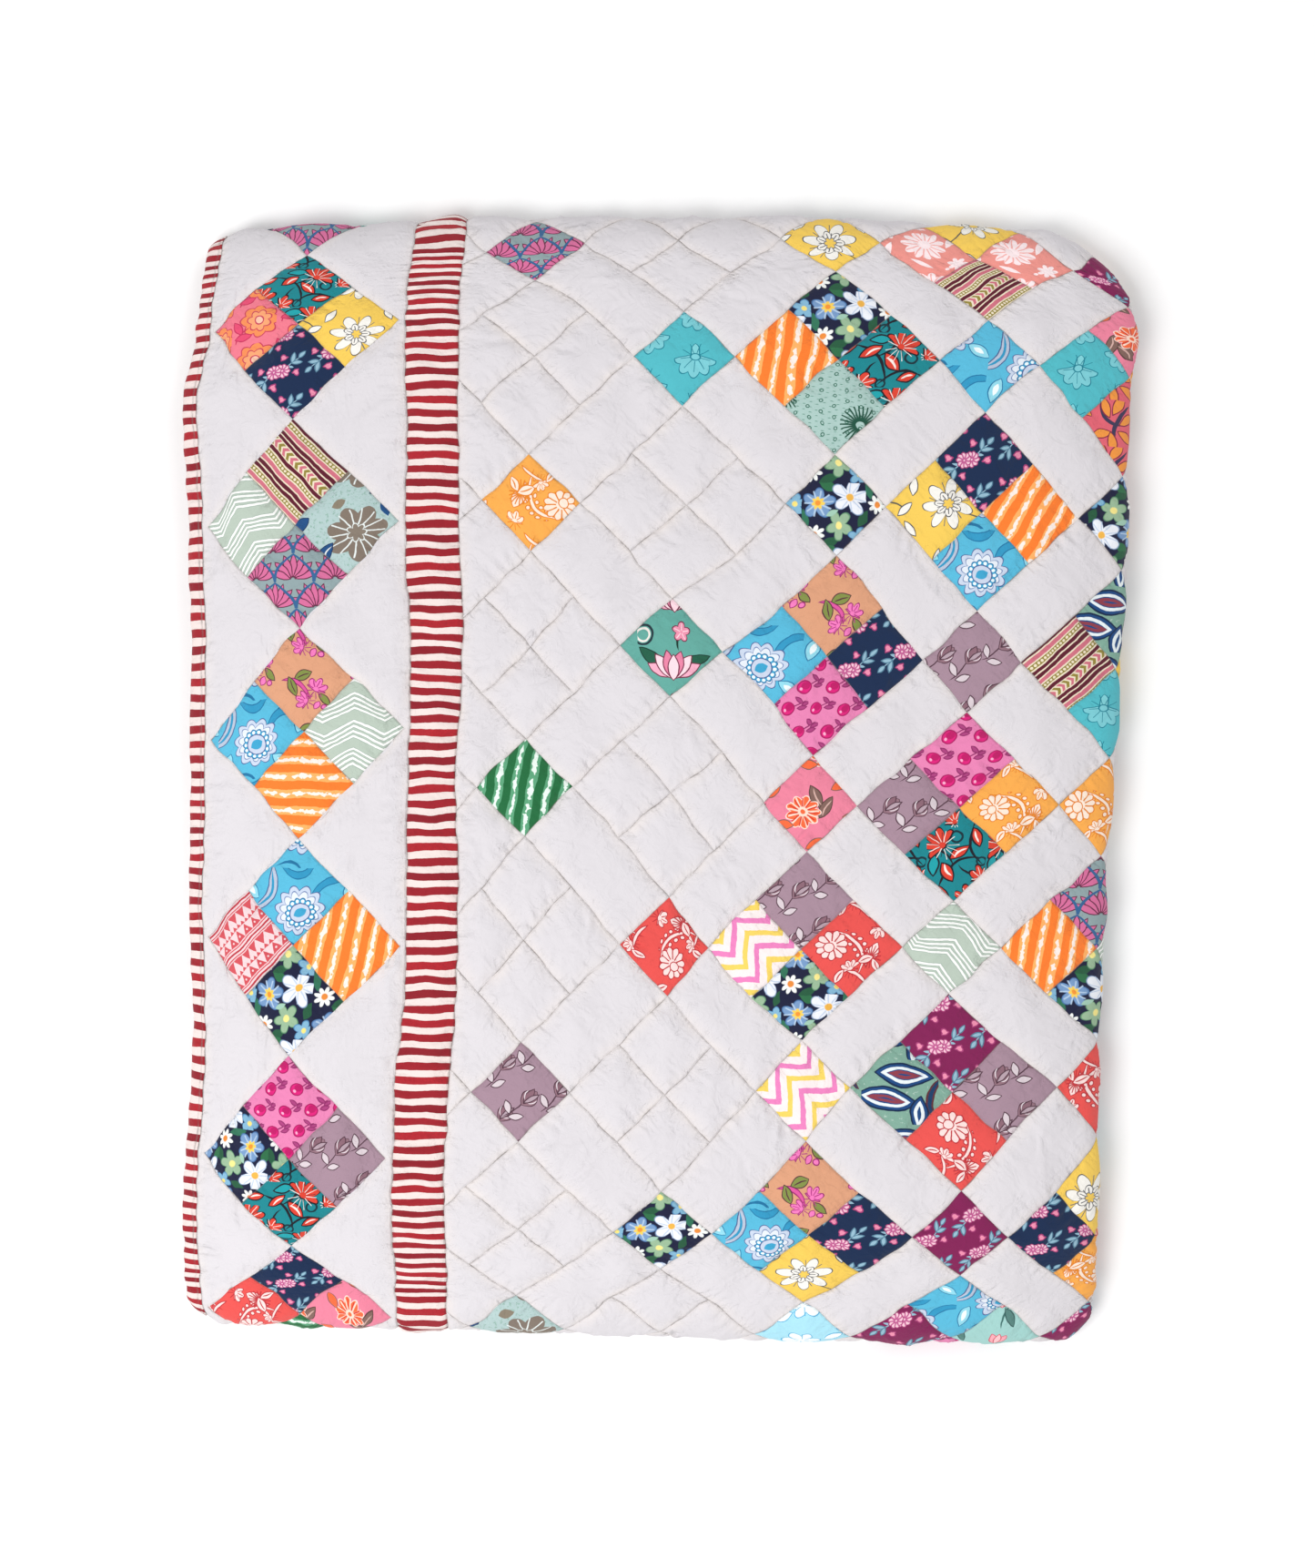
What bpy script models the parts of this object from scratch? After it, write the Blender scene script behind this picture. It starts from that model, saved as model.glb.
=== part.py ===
# A patchwork quilt, folded in half across its width and tucked under at both ends.
# Metres, +Z up. +X is the soft fold, -X the bound edge, +Y the upper end in plan.
# Every piece is made flat, u across and v along the cloth, and is then folded by the same functions.
import math
from collections import namedtuple

import bmesh
import bpy

# The quilt spread flat
WIDTH = 1.78
LENGTH = 2.38
BINDING_WIDTH = 0.015
BINDING_GAP = 0.0003
BORDER_END = 0.211
SASH_WIDTH = 0.050
PATCH_SIDE = 0.0659
HALF_STEP = PATCH_SIDE * math.sqrt(2) / 2
FIELD_CENTRE = 0.888
FIELD_STEPS = 12
BORDER_STEPS = 4
CLOSEST = HALF_STEP / 4

# Half thickness of the cloth: on a stitched seam, and what the filling adds in the middle of a patch.
# The press values say how soon the outer layer goes flat as it comes down on to the surface.
SEAM_HALF = 0.0055
FRONT_LOFT = 0.007
INNER_LOFT = 0.003
BACK_LOFT = 0.002
SASH_LOFT = 0.5
BINDING_HALF = 0.0045
LAYER_GAP = 0.003
PRESS_RATE = 1.6
PRESS_START = 1.3

SHARP_ANGLE = math.radians(60)

# The folds. A turn is the cloth that goes round a fold.
FOLD_ACROSS = 0.900
TURN_ACROSS = 0.050
TURN_ACROSS_STEPS = 4
VISIBLE_LENGTH = 1.200
TURN_ALONG = 0.110
TURN_ALONG_STEPS = 6
MIDDLE_ALONG = 0.023
EASE = 0.0405
EASE_REACH = 0.180
HALF_PAIR = SEAM_HALF + BACK_LOFT + LAYER_GAP / 2
TURN_RADIUS = HALF_PAIR + SEAM_HALF + INNER_LOFT + LAYER_GAP / 2
PRESSED_HEIGHT = TURN_RADIUS + HALF_PAIR + SEAM_HALF

# The folded quilt in plan
RUN_ACROSS = FOLD_ACROSS - TURN_ACROSS / 2
RUN_ALONG = VISIBLE_LENGTH / 2 - TURN_ALONG / 2
HALF_WIDE = (RUN_ACROSS + HALF_PAIR + SEAM_HALF + FRONT_LOFT) / 2
HALF_LONG = RUN_ALONG - EASE + TURN_RADIUS + HALF_PAIR + SEAM_HALF + FRONT_LOFT

# The stack is lower near its edges: the share of its height that is lost there, and how far in that reaches
Slope = namedtuple("Slope", "drop reach")
LEFT_SLOPE = Slope(drop=0.46, reach=0.11)
RIGHT_SLOPE = Slope(drop=0.36, reach=0.12)
END_SLOPE = Slope(drop=0.40, reach=0.17)
SWELL = 0.035
SWELL_LENGTH = 0.43
SWELL_SHIFT = 0.068

# How far the edges stand off straight lines, by place along and across the folded quilt.
# An end's drift fades quickly towards the other end, by this power.
END_GRIP = 4
Side = namedtuple("Side", "along left right")
SIDES = (
    Side(along=0.540, left=0.006, right=-0.003),
    Side(along=0.433, left=-0.002, right=0.016),
    Side(along=0.363, left=-0.014, right=0.009),
    Side(along=0.222, left=-0.005, right=0.010),
    Side(along=0.100, left=0.001, right=0.006),
    Side(along=-0.095, left=0.002, right=-0.002),
    Side(along=-0.271, left=0.010, right=-0.007),
    Side(along=-0.411, left=0.004, right=-0.003),
    Side(along=-0.540, left=0.008, right=-0.006),
)
End = namedtuple("End", "across upper lower")
ENDS = (
    End(across=-0.440, upper=-0.020, lower=0.002),
    End(across=-0.330, upper=-0.013, lower=0.001),
    End(across=-0.172, upper=-0.002, lower=0.000),
    End(across=0.162, upper=0.005, lower=-0.002),
    End(across=0.294, upper=0.000, lower=0.000),
    End(across=0.440, upper=-0.006, lower=0.002),
)
Corner = namedtuple("Corner", "side end radius")
CORNERS = (
    Corner(side=1, end=1, radius=0.085),
    Corner(side=-1, end=1, radius=0.060),
    Corner(side=1, end=-1, radius=0.045),
    Corner(side=-1, end=-1, radius=0.035),
)


def clamp(value):
    return min(1.0, max(0.0, value))


def smooth(value):
    value = clamp(value)
    return value * value * (3 - 2 * value)


def between(rows, place, key, column):
    # Reads a column of a table at a place between its rows, with a smooth step from row to row.
    rows = sorted(rows, key=lambda row: getattr(row, key))
    for low, high in zip(rows, rows[1:]):
        if place <= getattr(high, key):
            break
    start, stop = getattr(low, key), getattr(high, key)
    share = smooth((place - start) / (stop - start))
    return getattr(low, column) * (1 - share) + getattr(high, column) * share


def spaced(start, stop, count):
    return [start + (stop - start) * step / count for step in range(count + 1)]


def outside(places, middle, reach):
    return [place for place in places if abs(place - middle) > reach]


def inner_columns():
    # Places across the cloth, from the border's first inner column to its last.
    border = spaced(BINDING_WIDTH, BORDER_END, BORDER_STEPS)[1:]
    sash = spaced(BORDER_END, BORDER_END + SASH_WIDTH, 2)[1:]
    edge = border + sash
    field = [FIELD_CENTRE + step * HALF_STEP for step in range(-FIELD_STEPS, FIELD_STEPS + 1)]
    turn = spaced(FOLD_ACROSS - TURN_ACROSS / 2, FOLD_ACROSS + TURN_ACROSS / 2, TURN_ACROSS_STEPS)
    field = outside(field, FOLD_ACROSS, TURN_ACROSS / 2 + CLOSEST)
    return sorted(edge + field + turn + [WIDTH - place for place in edge])


def inner_rows():
    # Places along the cloth, on the rows of patches and closer together round the two end folds.
    count = int((LENGTH / 2 - BINDING_WIDTH - CLOSEST) / HALF_STEP)
    rows = [step * HALF_STEP for step in range(-count, count + 1)]
    for end in (-1, 1):
        middle = MIDDLE_ALONG + end * VISIBLE_LENGTH / 2
        rows = outside(rows, middle, TURN_ALONG / 2 + CLOSEST)
        rows += spaced(middle - TURN_ALONG / 2, middle + TURN_ALONG / 2, TURN_ALONG_STEPS)
    return sorted(rows)


def lattice_puff(column, row):
    # 1 in the middle of a patch set on point and 0 on its seams. Both are in half diagonals.
    rising = (column + row) / 2
    falling = (column - row) / 2
    return 1 - 2 * max(abs(rising - round(rising)), abs(falling - round(falling)))


def puff(u, v):
    edge = min(u, WIDTH - u)
    row = v / HALF_STEP
    if edge < BORDER_END:
        step = (BORDER_END - BINDING_WIDTH) / BORDER_STEPS
        return lattice_puff((edge - BINDING_WIDTH) / step + 1, row)
    if edge < BORDER_END + SASH_WIDTH:
        return SASH_LOFT * (1 - abs(edge - BORDER_END - SASH_WIDTH / 2) / (SASH_WIDTH / 2))
    return lattice_puff((u - FIELD_CENTRE) / HALF_STEP, row)


def pressed(u, v):
    # 1 where the outer layer lies on the surface below, so that its front is flat there.
    round_end = (abs(v - MIDDLE_ALONG) - VISIBLE_LENGTH / 2) / (TURN_ALONG / 2)
    round_side = (u - RUN_ACROSS) / TURN_ACROSS
    return clamp(PRESS_RATE * round_end) * clamp(PRESS_START - PRESS_RATE * round_side)


def body_thickness(u, v, front):
    # The layers inside the stack are squeezed, so their patches stand up less.
    if not front:
        return -SEAM_HALF - BACK_LOFT * puff(u, v)
    inside = clamp((u - RUN_ACROSS) / TURN_ACROSS)
    loft = FRONT_LOFT + (INNER_LOFT - FRONT_LOFT) * inside
    return SEAM_HALF + loft * puff(u, v) * (1 - pressed(u, v))


def binding_thickness(u, v, front):
    if front:
        return BINDING_HALF + (SEAM_HALF - BINDING_HALF) * pressed(u, v)
    return -BINDING_HALF


def around(along, turn, radius, out):
    # Goes along a run, half round a fold and back. Returns how far it went and its height over the fold.
    if along <= 0:
        return along, radius + out
    if along >= turn:
        return turn - along, -radius - out
    angle = math.pi * along / turn
    return (radius + out) * math.sin(angle), (radius + out) * math.cos(angle)


def fold(u, v, w):
    reach, height = around(u - RUN_ACROSS, TURN_ACROSS, HALF_PAIR, w)
    x = RUN_ACROSS + reach - HALF_WIDE
    side = 1 if v > MIDDLE_ALONG else -1
    reach, height = around(abs(v - MIDDLE_ALONG) - RUN_ALONG, TURN_ALONG, TURN_RADIUS, height)
    eased = min(0.0, reach)
    reach -= EASE * clamp(1 + eased / EASE_REACH) ** 2
    return x, side * (RUN_ALONG + reach), PRESSED_HEIGHT + height


def loss(slope, distance):
    return 1 - slope.drop * clamp(1 - distance / slope.reach) ** 2


def settle(x, y, z):
    # The height that is left of the stack, with its soft edges and a slight swell.
    sides = loss(LEFT_SLOPE, HALF_WIDE + x) * loss(RIGHT_SLOPE, HALF_WIDE - x)
    ends = loss(END_SLOPE, HALF_LONG - abs(y))
    turn = 2 * math.pi / SWELL_LENGTH
    swell = 1 + SWELL * math.sin(turn * (x + SWELL_SHIFT)) * math.sin(turn * y)
    return z * sides * ends * swell


def round_corners(x, y):
    # Turns each corner's square into a quarter of a disc.
    for corner in CORNERS:
        far_x = corner.side * x - (HALF_WIDE - corner.radius)
        far_y = corner.end * y - (HALF_LONG - corner.radius)
        if far_x <= 0 or far_y <= 0:
            continue
        double = 2 * corner.radius**2
        near_x = far_x * math.sqrt(max(0.0, 1 - far_y**2 / double))
        near_y = far_y * math.sqrt(max(0.0, 1 - far_x**2 / double))
        x += corner.side * (near_x - far_x)
        y += corner.end * (near_y - far_y)
    return x, y


def drift(x, y):
    across = clamp((x + HALF_WIDE) / (2 * HALF_WIDE))
    along = clamp((y + HALF_LONG) / (2 * HALF_LONG))
    left = between(SIDES, y, "along", "left")
    right = between(SIDES, y, "along", "right")
    lower = between(ENDS, x, "across", "lower")
    upper = between(ENDS, x, "across", "upper")
    moved_y = lower * (1 - along) ** END_GRIP + upper * along**END_GRIP
    return x + left * (1 - across) ** 2 + right * across, y + moved_y


def placed(u, v, w):
    x, y, z = fold(u, v, w)
    z = settle(x, y, z)
    x, y = round_corners(x, y)
    x, y = drift(x, y)
    return x, y, z


def flat_grid(columns, rows):
    grid = bmesh.new()
    across, along = len(columns) - 1, len(rows) - 1
    bmesh.ops.create_grid(grid, x_segments=across, y_segments=along, size=0.5)
    for vert in grid.verts:
        column = round((vert.co.x + 0.5) * across)
        row = round((vert.co.y + 0.5) * along)
        vert.co = (columns[column], rows[row], 0)
    return grid


def split_on_seams(grid):
    # Cuts each face on the diagonal that runs along a seam.
    for face in list(grid.faces):
        first, second, third, fourth = face.verts
        one = puff(*first.co.xy) + puff(*third.co.xy)
        other = puff(*second.co.xy) + puff(*fourth.co.xy)
        if one < other:
            bmesh.utils.face_split(face, first, third)
        else:
            bmesh.utils.face_split(face, second, fourth)


def material(name, colour, roughness):
    made = bpy.data.materials.new(name)
    made.use_nodes = True
    shader = made.node_tree.nodes["Principled BSDF"]
    shader.inputs["Base Color"].default_value = (*colour, 1)
    shader.inputs["Roughness"].default_value = roughness
    shader.inputs["Metallic"].default_value = 0
    return made


def folded(name, grid, thickness, finish, collection):
    # Thickens the flat grid by one unit, and folds each of its points at the cloth's own thickness.
    flat_mesh = bpy.data.meshes.new(name + "_flat")
    grid.to_mesh(flat_mesh)
    grid.free()
    flat = bpy.data.objects.new(name + "_flat", flat_mesh)
    collection.objects.link(flat)
    thicken = flat.modifiers.new("Thickness", "SOLIDIFY")
    thicken.thickness = 1
    thicken.offset = 0
    evaluated = flat.evaluated_get(bpy.context.evaluated_depsgraph_get())
    mesh = bpy.data.meshes.new_from_object(evaluated)
    bpy.data.objects.remove(flat)
    mesh.name = name
    for vert in mesh.vertices:
        u, v, level = vert.co
        vert.co = placed(u, v, thickness(u, v, level > 0))
    mesh.materials.clear()
    mesh.materials.append(finish)
    mesh.shade_smooth()
    mesh.set_sharp_from_angle(angle=SHARP_ANGLE)
    piece = bpy.data.objects.new(name, mesh)
    collection.objects.link(piece)
    return piece


def make_body(collection):
    columns = [BINDING_WIDTH] + inner_columns() + [WIDTH - BINDING_WIDTH]
    end = LENGTH / 2 - BINDING_WIDTH
    grid = flat_grid(columns, [-end] + inner_rows() + [end])
    split_on_seams(grid)
    cotton = material("patchwork cotton", (0.72, 0.66, 0.64), 0.9)
    return folded("quilt", grid, body_thickness, cotton, collection)


def make_binding(collection):
    edge = BINDING_WIDTH - BINDING_GAP
    end = LENGTH / 2
    columns = [0, edge] + inner_columns() + [WIDTH - edge, WIDTH]
    grid = flat_grid(columns, [-end, edge - end] + inner_rows() + [end - edge, end])
    covered = [
        face
        for face in grid.faces
        if edge < face.calc_center_median().x < WIDTH - edge and abs(face.calc_center_median().y) < end - edge
    ]
    bmesh.ops.delete(grid, geom=covered, context="FACES")
    stripe = material("striped cotton binding", (0.62, 0.22, 0.22), 0.85)
    return folded("binding", grid, binding_thickness, stripe, collection)


def centre(pieces):
    # Moves the pieces together, so that the origin is under the middle of their box.
    points = [vert.co for piece in pieces for vert in piece.data.vertices]
    shift_x = (min(point.x for point in points) + max(point.x for point in points)) / 2
    shift_y = (min(point.y for point in points) + max(point.y for point in points)) / 2
    for point in points:
        point.x -= shift_x
        point.y -= shift_y
    print("moved to the middle of the box by", round(-shift_x, 5), round(-shift_y, 5))


def main():
    for old in list(bpy.data.objects):
        bpy.data.objects.remove(old)
    collection = bpy.data.collections.new("patchwork quilt")
    bpy.context.scene.collection.children.link(collection)
    centre([make_body(collection), make_binding(collection)])


main()
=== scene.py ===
import math

import bmesh
import bpy
import numpy as np
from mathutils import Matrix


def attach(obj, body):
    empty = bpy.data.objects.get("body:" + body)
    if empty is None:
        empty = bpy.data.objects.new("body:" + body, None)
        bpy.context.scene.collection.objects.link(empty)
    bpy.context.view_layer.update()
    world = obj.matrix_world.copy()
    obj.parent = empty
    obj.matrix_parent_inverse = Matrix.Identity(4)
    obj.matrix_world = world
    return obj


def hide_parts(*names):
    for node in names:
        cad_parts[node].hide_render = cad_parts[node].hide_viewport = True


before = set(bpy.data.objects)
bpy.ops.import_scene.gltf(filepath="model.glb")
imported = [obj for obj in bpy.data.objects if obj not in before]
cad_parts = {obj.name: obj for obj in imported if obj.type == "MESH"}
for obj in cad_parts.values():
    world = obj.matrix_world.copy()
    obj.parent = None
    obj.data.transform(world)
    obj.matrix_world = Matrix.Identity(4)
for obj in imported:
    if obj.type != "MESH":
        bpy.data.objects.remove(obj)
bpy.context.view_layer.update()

# The quilt spread flat, in metres. u runs across it from the bound edge and v along it.
cloth = {
    "width": 1.78,
    "length": 2.38,
    "bindingWidth": 0.015,
    "borderEnd": 0.211,
    "patchSide": 0.0659,
    "fieldCentre": 0.888,
    "borderCentre": 0.1135,
    "borderHalfWide": 0.0915,
    "borderPitch": 0.201,
    "borderShift": 0.057,
}
halfStep = cloth["patchSide"] * math.sqrt(2) / 2
fieldCell = halfStep / 15
fieldStart = cloth["fieldCentre"] - 202 * fieldCell  # a line of the fine mesh, where the field begins
borderHalfStep = cloth["borderPitch"] / 4

# How it is folded. The sizes are those of the solids, and floorHeight is where the lowest cloth flattens.
folds = {
    "seamHalf": 0.0055,
    "frontLoft": 0.007,
    "innerLoft": 0.003,
    "backLoft": 0.002,
    "layerGap": 0.003,
    "pressRate": 1.6,
    "pressStart": 1.3,
    "across": 0.900,
    "turnAcross": 0.050,
    "visibleLength": 1.200,
    "turnAlong": 0.110,
    "middleAlong": 0.023,
    "ease": 0.0405,
    "easeReach": 0.180,
    "endGrip": 4,
    "swell": 0.035,
    "swellLength": 0.43,
    "swellShift": 0.068,
    "moved": (0.00058, -0.00133),
    "floorHeight": 0.002,
}
halfPair = folds["seamHalf"] + folds["backLoft"] + folds["layerGap"] / 2
turnRadius = halfPair + folds["seamHalf"] + folds["innerLoft"] + folds["layerGap"] / 2
pressedHeight = turnRadius + halfPair + folds["seamHalf"]
runAcross = folds["across"] - folds["turnAcross"] / 2
runAlong = (folds["visibleLength"] - folds["turnAlong"]) / 2
halfWide = (runAcross + halfPair + folds["seamHalf"] + folds["frontLoft"]) / 2
halfLong = runAlong - folds["ease"] + turnRadius + halfPair + folds["seamHalf"] + folds["frontLoft"]

# drop, reach
slopes = {"left": (0.46, 0.11), "right": (0.36, 0.12), "end": (0.40, 0.17)}
# along, left, right
sideRows = np.array([
    (-0.540, 0.008, -0.006),
    (-0.411, 0.004, -0.003),
    (-0.271, 0.010, -0.007),
    (-0.095, 0.002, -0.002),
    (0.100, 0.001, 0.006),
    (0.222, -0.005, 0.010),
    (0.363, -0.014, 0.009),
    (0.433, -0.002, 0.016),
    (0.540, 0.006, -0.003),
])
# across, upper, lower
endRows = np.array([
    (-0.440, -0.020, 0.002),
    (-0.330, -0.013, 0.001),
    (-0.172, -0.002, 0.000),
    (0.162, 0.005, -0.002),
    (0.294, 0.000, 0.000),
    (0.440, -0.006, 0.002),
])
# side, end, radius; the upper left corner is a little squarer than the solid's
cornerRows = [(1, 1, 0.085), (-1, 1, 0.030), (1, -1, 0.045), (-1, -1, 0.035)]


def smooth(value):
    value = np.clip(value, 0, 1)
    return value * value * (3 - 2 * value)


def between(rows, place, column):
    # reads a table's column between its rows, with a smooth step from row to row
    at = np.clip(np.searchsorted(rows[:, 0], place) - 1, 0, len(rows) - 2)
    low, high = rows[at], rows[at + 1]
    share = smooth((place - low[..., 0]) / (high[..., 0] - low[..., 0]))
    return low[..., column] * (1 - share) + high[..., column] * share


# Fields that wander over the cloth: seed, length of their waves in metres, mean, swing
waves = {
    "puff": (11, 0.10, 1, 0.35),
    "puckerBeat": (12, 0.05, 0, 3),
    "puckerHeight": (13, 0.04, 0.6, 0.6),
    "puckerShare": (17, 0.045, 0.5, 0.9),
    "wave": (14, 0.05, 0, 1),
    "fold": (18, 0.07, 0, 1),
    "foldShare": (19, 0.09, 0, 1),
    "gatherBeat": (15, 0.06, 0, 2.5),
    "gatherHeight": (16, 0.09, 0, 1),
    "acrossFine": (21, 0.035, 0, 1),
    "acrossWide": (22, 0.16, 0, 0.8),
    "alongFine": (23, 0.035, 0, 1),
    "alongWide": (24, 0.16, 0, 0.8),
    "binding": (31, 0.02, 1, 0.06),
}
mixing = {"waves": 7, "shortest": 0.7, "longest": 1.5, "even": 3.2}


def wander(name, x, y):
    # a soft, uneven field: a sum of waves that stays within about one swing of its mean
    seed, length, mean, swing = waves[name]
    draw = np.random.default_rng(seed)
    total = np.zeros(np.broadcast(x, y).shape)
    for _ in range(mixing["waves"]):
        heading = draw.uniform(0, 2 * math.pi)
        turn = 2 * math.pi / (length * draw.uniform(mixing["shortest"], mixing["longest"]))
        total += np.sin((x * math.cos(heading) + y * math.sin(heading)) * turn + draw.uniform(0, 2 * math.pi))
    return mean + swing * (total / mixing["even"])


def aroundTurn(along, turn, radius, out):
    # follows the cloth into a half turn and back: how far it reaches, and its height off the turn's middle
    angle = math.pi * np.clip(along / turn, 0, 1)
    inTurn = (radius + out) * np.sin(angle)
    reach = np.where(along <= 0, along, np.where(along >= turn, turn - along, inTurn))
    return reach, (radius + out) * np.cos(angle)


def foldCloth(u, v, w):
    # folds the flat cloth across its width, then tucks both ends under
    reach, height = aroundTurn(u - runAcross, folds["turnAcross"], halfPair, w)
    x = runAcross + reach - halfWide
    side = np.where(v > folds["middleAlong"], 1, -1)
    fromMiddle = abs(v - folds["middleAlong"])
    reach, height = aroundTurn(fromMiddle - runAlong, folds["turnAlong"], turnRadius, height)
    eased = np.minimum(0, reach)
    reach = reach - folds["ease"] * np.clip(1 + eased / folds["easeReach"], 0, 1) ** 2
    return x, side * (runAlong + reach), pressedHeight + height


def loss(slope, distance):
    # the pile is lower towards its edges
    drop, reach = slopes[slope]
    return 1 - drop * np.clip(1 - distance / reach, 0, 1) ** 2


def settle(x, y, z):
    # presses the folded pile, which swells softly here and there
    share = loss("left", halfWide + x) * loss("right", halfWide - x) * loss("end", halfLong - abs(y))
    turn = 2 * math.pi / folds["swellLength"]
    swell = 1 + folds["swell"] * np.sin(turn * (x + folds["swellShift"])) * np.sin(turn * y)
    return z * share * swell


def roundCorners(x, y):
    for side, end, radius in cornerRows:
        farX = side * x - (halfWide - radius)
        farY = end * y - (halfLong - radius)
        inside = (farX > 0) & (farY > 0)
        nearX = farX * np.sqrt(np.maximum(0, 1 - farY**2 / (2 * radius**2)))
        nearY = farY * np.sqrt(np.maximum(0, 1 - farX**2 / (2 * radius**2)))
        x = x + np.where(inside, side * (nearX - farX), 0)
        y = y + np.where(inside, end * (nearY - farY), 0)
    return x, y


def drift(x, y):
    # draws the edges off their straight lines, as the photo shows them
    across = np.clip((x + halfWide) / (2 * halfWide), 0, 1)
    along = np.clip((y + halfLong) / (2 * halfLong), 0, 1)
    movedX = between(sideRows, y, 1) * (1 - across) ** 2 + between(sideRows, y, 2) * across
    lower = between(endRows, x, 2) * (1 - along) ** folds["endGrip"]
    upper = between(endRows, x, 1) * along ** folds["endGrip"]
    return x + movedX, y + (lower + upper)


def placed(u, v, w):
    # where a point of the flat cloth lies in the scene; the lowest cloth rests on the floor
    x, y, z = foldCloth(u, v, w)
    z = settle(x, y, z)
    low = folds["floorHeight"]
    z = np.where(z < low, low * np.exp(np.minimum(z / low - 1, 0)), z)
    x, y = roundCorners(x, y)
    x, y = drift(x, y)
    return np.stack([x + folds["moved"][0], y + folds["moved"][1], z], 1)


def pressed(u, v):
    # 1 where the outer layer lies on the floor
    roundEnd = (abs(v - folds["middleAlong"]) - folds["visibleLength"] / 2) / (folds["turnAlong"] / 2)
    roundSide = (u - runAcross) / folds["turnAcross"]
    byEnd = np.clip(folds["pressRate"] * roundEnd, 0, 1)
    return byEnd * np.clip(folds["pressStart"] - folds["pressRate"] * roundSide, 0, 1)


# Where each patch lies. a and b name it: how many squares it is up to the right and up to the left.
# p and q run along its sides, halfP and halfQ are half its size, and edge is how far the panel's edge is.


def fieldPatches(u, v):
    column, row = (u - cloth["fieldCentre"]) / halfStep, v / halfStep
    rising, falling = (column + row) / 2, (row - column) / 2
    a, b = np.round(rising), np.round(falling)
    longA = (b % 3 == 0) & (a % 3 != 0)
    longB = (a % 3 == 0) & (b % 3 != 0)
    centreA = a + np.where(longA, np.where(a % 3 == 1, 0.5, -0.5), 0)
    centreB = b + np.where(longB, np.where(b % 3 == 1, 0.5, -0.5), 0)
    toSide = np.minimum(u - fieldStart, cloth["width"] - fieldStart - u)
    return {
        "p": (rising - centreA) * cloth["patchSide"],
        "q": (falling - centreB) * cloth["patchSide"],
        "halfP": np.where(longA, 1, 0.5) * cloth["patchSide"],
        "halfQ": np.where(longB, 1, 0.5) * cloth["patchSide"],
        "edge": np.minimum(toSide, cloth["length"] / 2 - cloth["bindingWidth"] - abs(v)),
        "a": centreA,
        "b": centreB,
    }


def borderPatches(u, v):
    # u is measured from the nearer bound edge; there are blocks of four squares on point, and plain triangles
    side = borderHalfStep * math.sqrt(2)
    column = (u - cloth["borderCentre"]) / cloth["borderHalfWide"] * 2
    block = np.round((v - cloth["borderShift"]) / cloth["borderPitch"])
    row = (v - cloth["borderShift"] - block * cloth["borderPitch"]) / borderHalfStep
    rising, falling = (column + row) / 2, (row - column) / 2
    plain = np.maximum(abs(rising), abs(falling)) > 1
    centreA = np.where(rising > 0, 0.5, -0.5)
    centreB = np.where(falling > 0, 0.5, -0.5)
    toBlock = np.maximum(np.maximum(abs(rising), abs(falling)) - 1, 0) * side
    toEdge = np.minimum(u - cloth["bindingWidth"], cloth["borderEnd"] - u)
    p = np.where(plain, row * borderHalfStep, (rising - centreA) * side)
    return {
        "p": p,
        "q": np.where(plain, toEdge, (falling - centreB) * side),
        "halfP": np.where(plain, abs(p) + toBlock, side / 2),
        "halfQ": np.where(plain, 10, side / 2),
        "edge": toEdge,
        "a": np.where(plain, np.sign(column) * 3, centreA),
        "b": np.where(plain, np.sign(row) * 3, centreB),
        "block": block,
    }


def sashPatches(u, v):
    middle = (cloth["borderEnd"] + fieldStart) / 2
    zero = np.zeros(np.broadcast(u, v).shape)
    return {
        "p": v + zero,
        "q": u - middle + zero,
        "halfP": zero + 10,
        "halfQ": zero + (fieldStart - cloth["borderEnd"]) / 2,
        "edge": zero + 10,
    }


patchesOf = {"field": fieldPatches, "border": borderPatches, "sash": sashPatches}


def seamDistances(patch):
    return np.stack([patch["halfP"] - abs(patch["p"]), patch["halfQ"] - abs(patch["q"]), patch["edge"]])


# The front's relief: heights in metres, and how far from a seam each begins (Start) and goes on (Reach).
relief = {
    "flat": 0.0022,
    "flatReach": 0.030,
    "puff": 0.0034,
    "puffReach": 0.026,
    "puffPower": 2.2,
    "furrow": 0.0009,
    "furrowReach": 0.0024,
    "pucker": 0.0018,
    "puckerPitch": 0.013,
    "puckerStart": 0.003,
    "puckerReach": 0.024,
    "puckerMost": 1.5,
    "wave": 0.0012,
    "waveStart": 0.012,
    "fold": 0.0017,
    "foldHalf": 0.10,
    "foldStart": 0.008,
    "gather": 0.0013,
    "gatherPitch": 0.017,
    "gatherLean": 12,
    "gatherStart": 0.004,
    "gatherLeast": 0.25,
    "gatherEven": 0.35,
    "gatherUneven": 0.5,
    "wobble": 0.0009,
}
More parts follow.
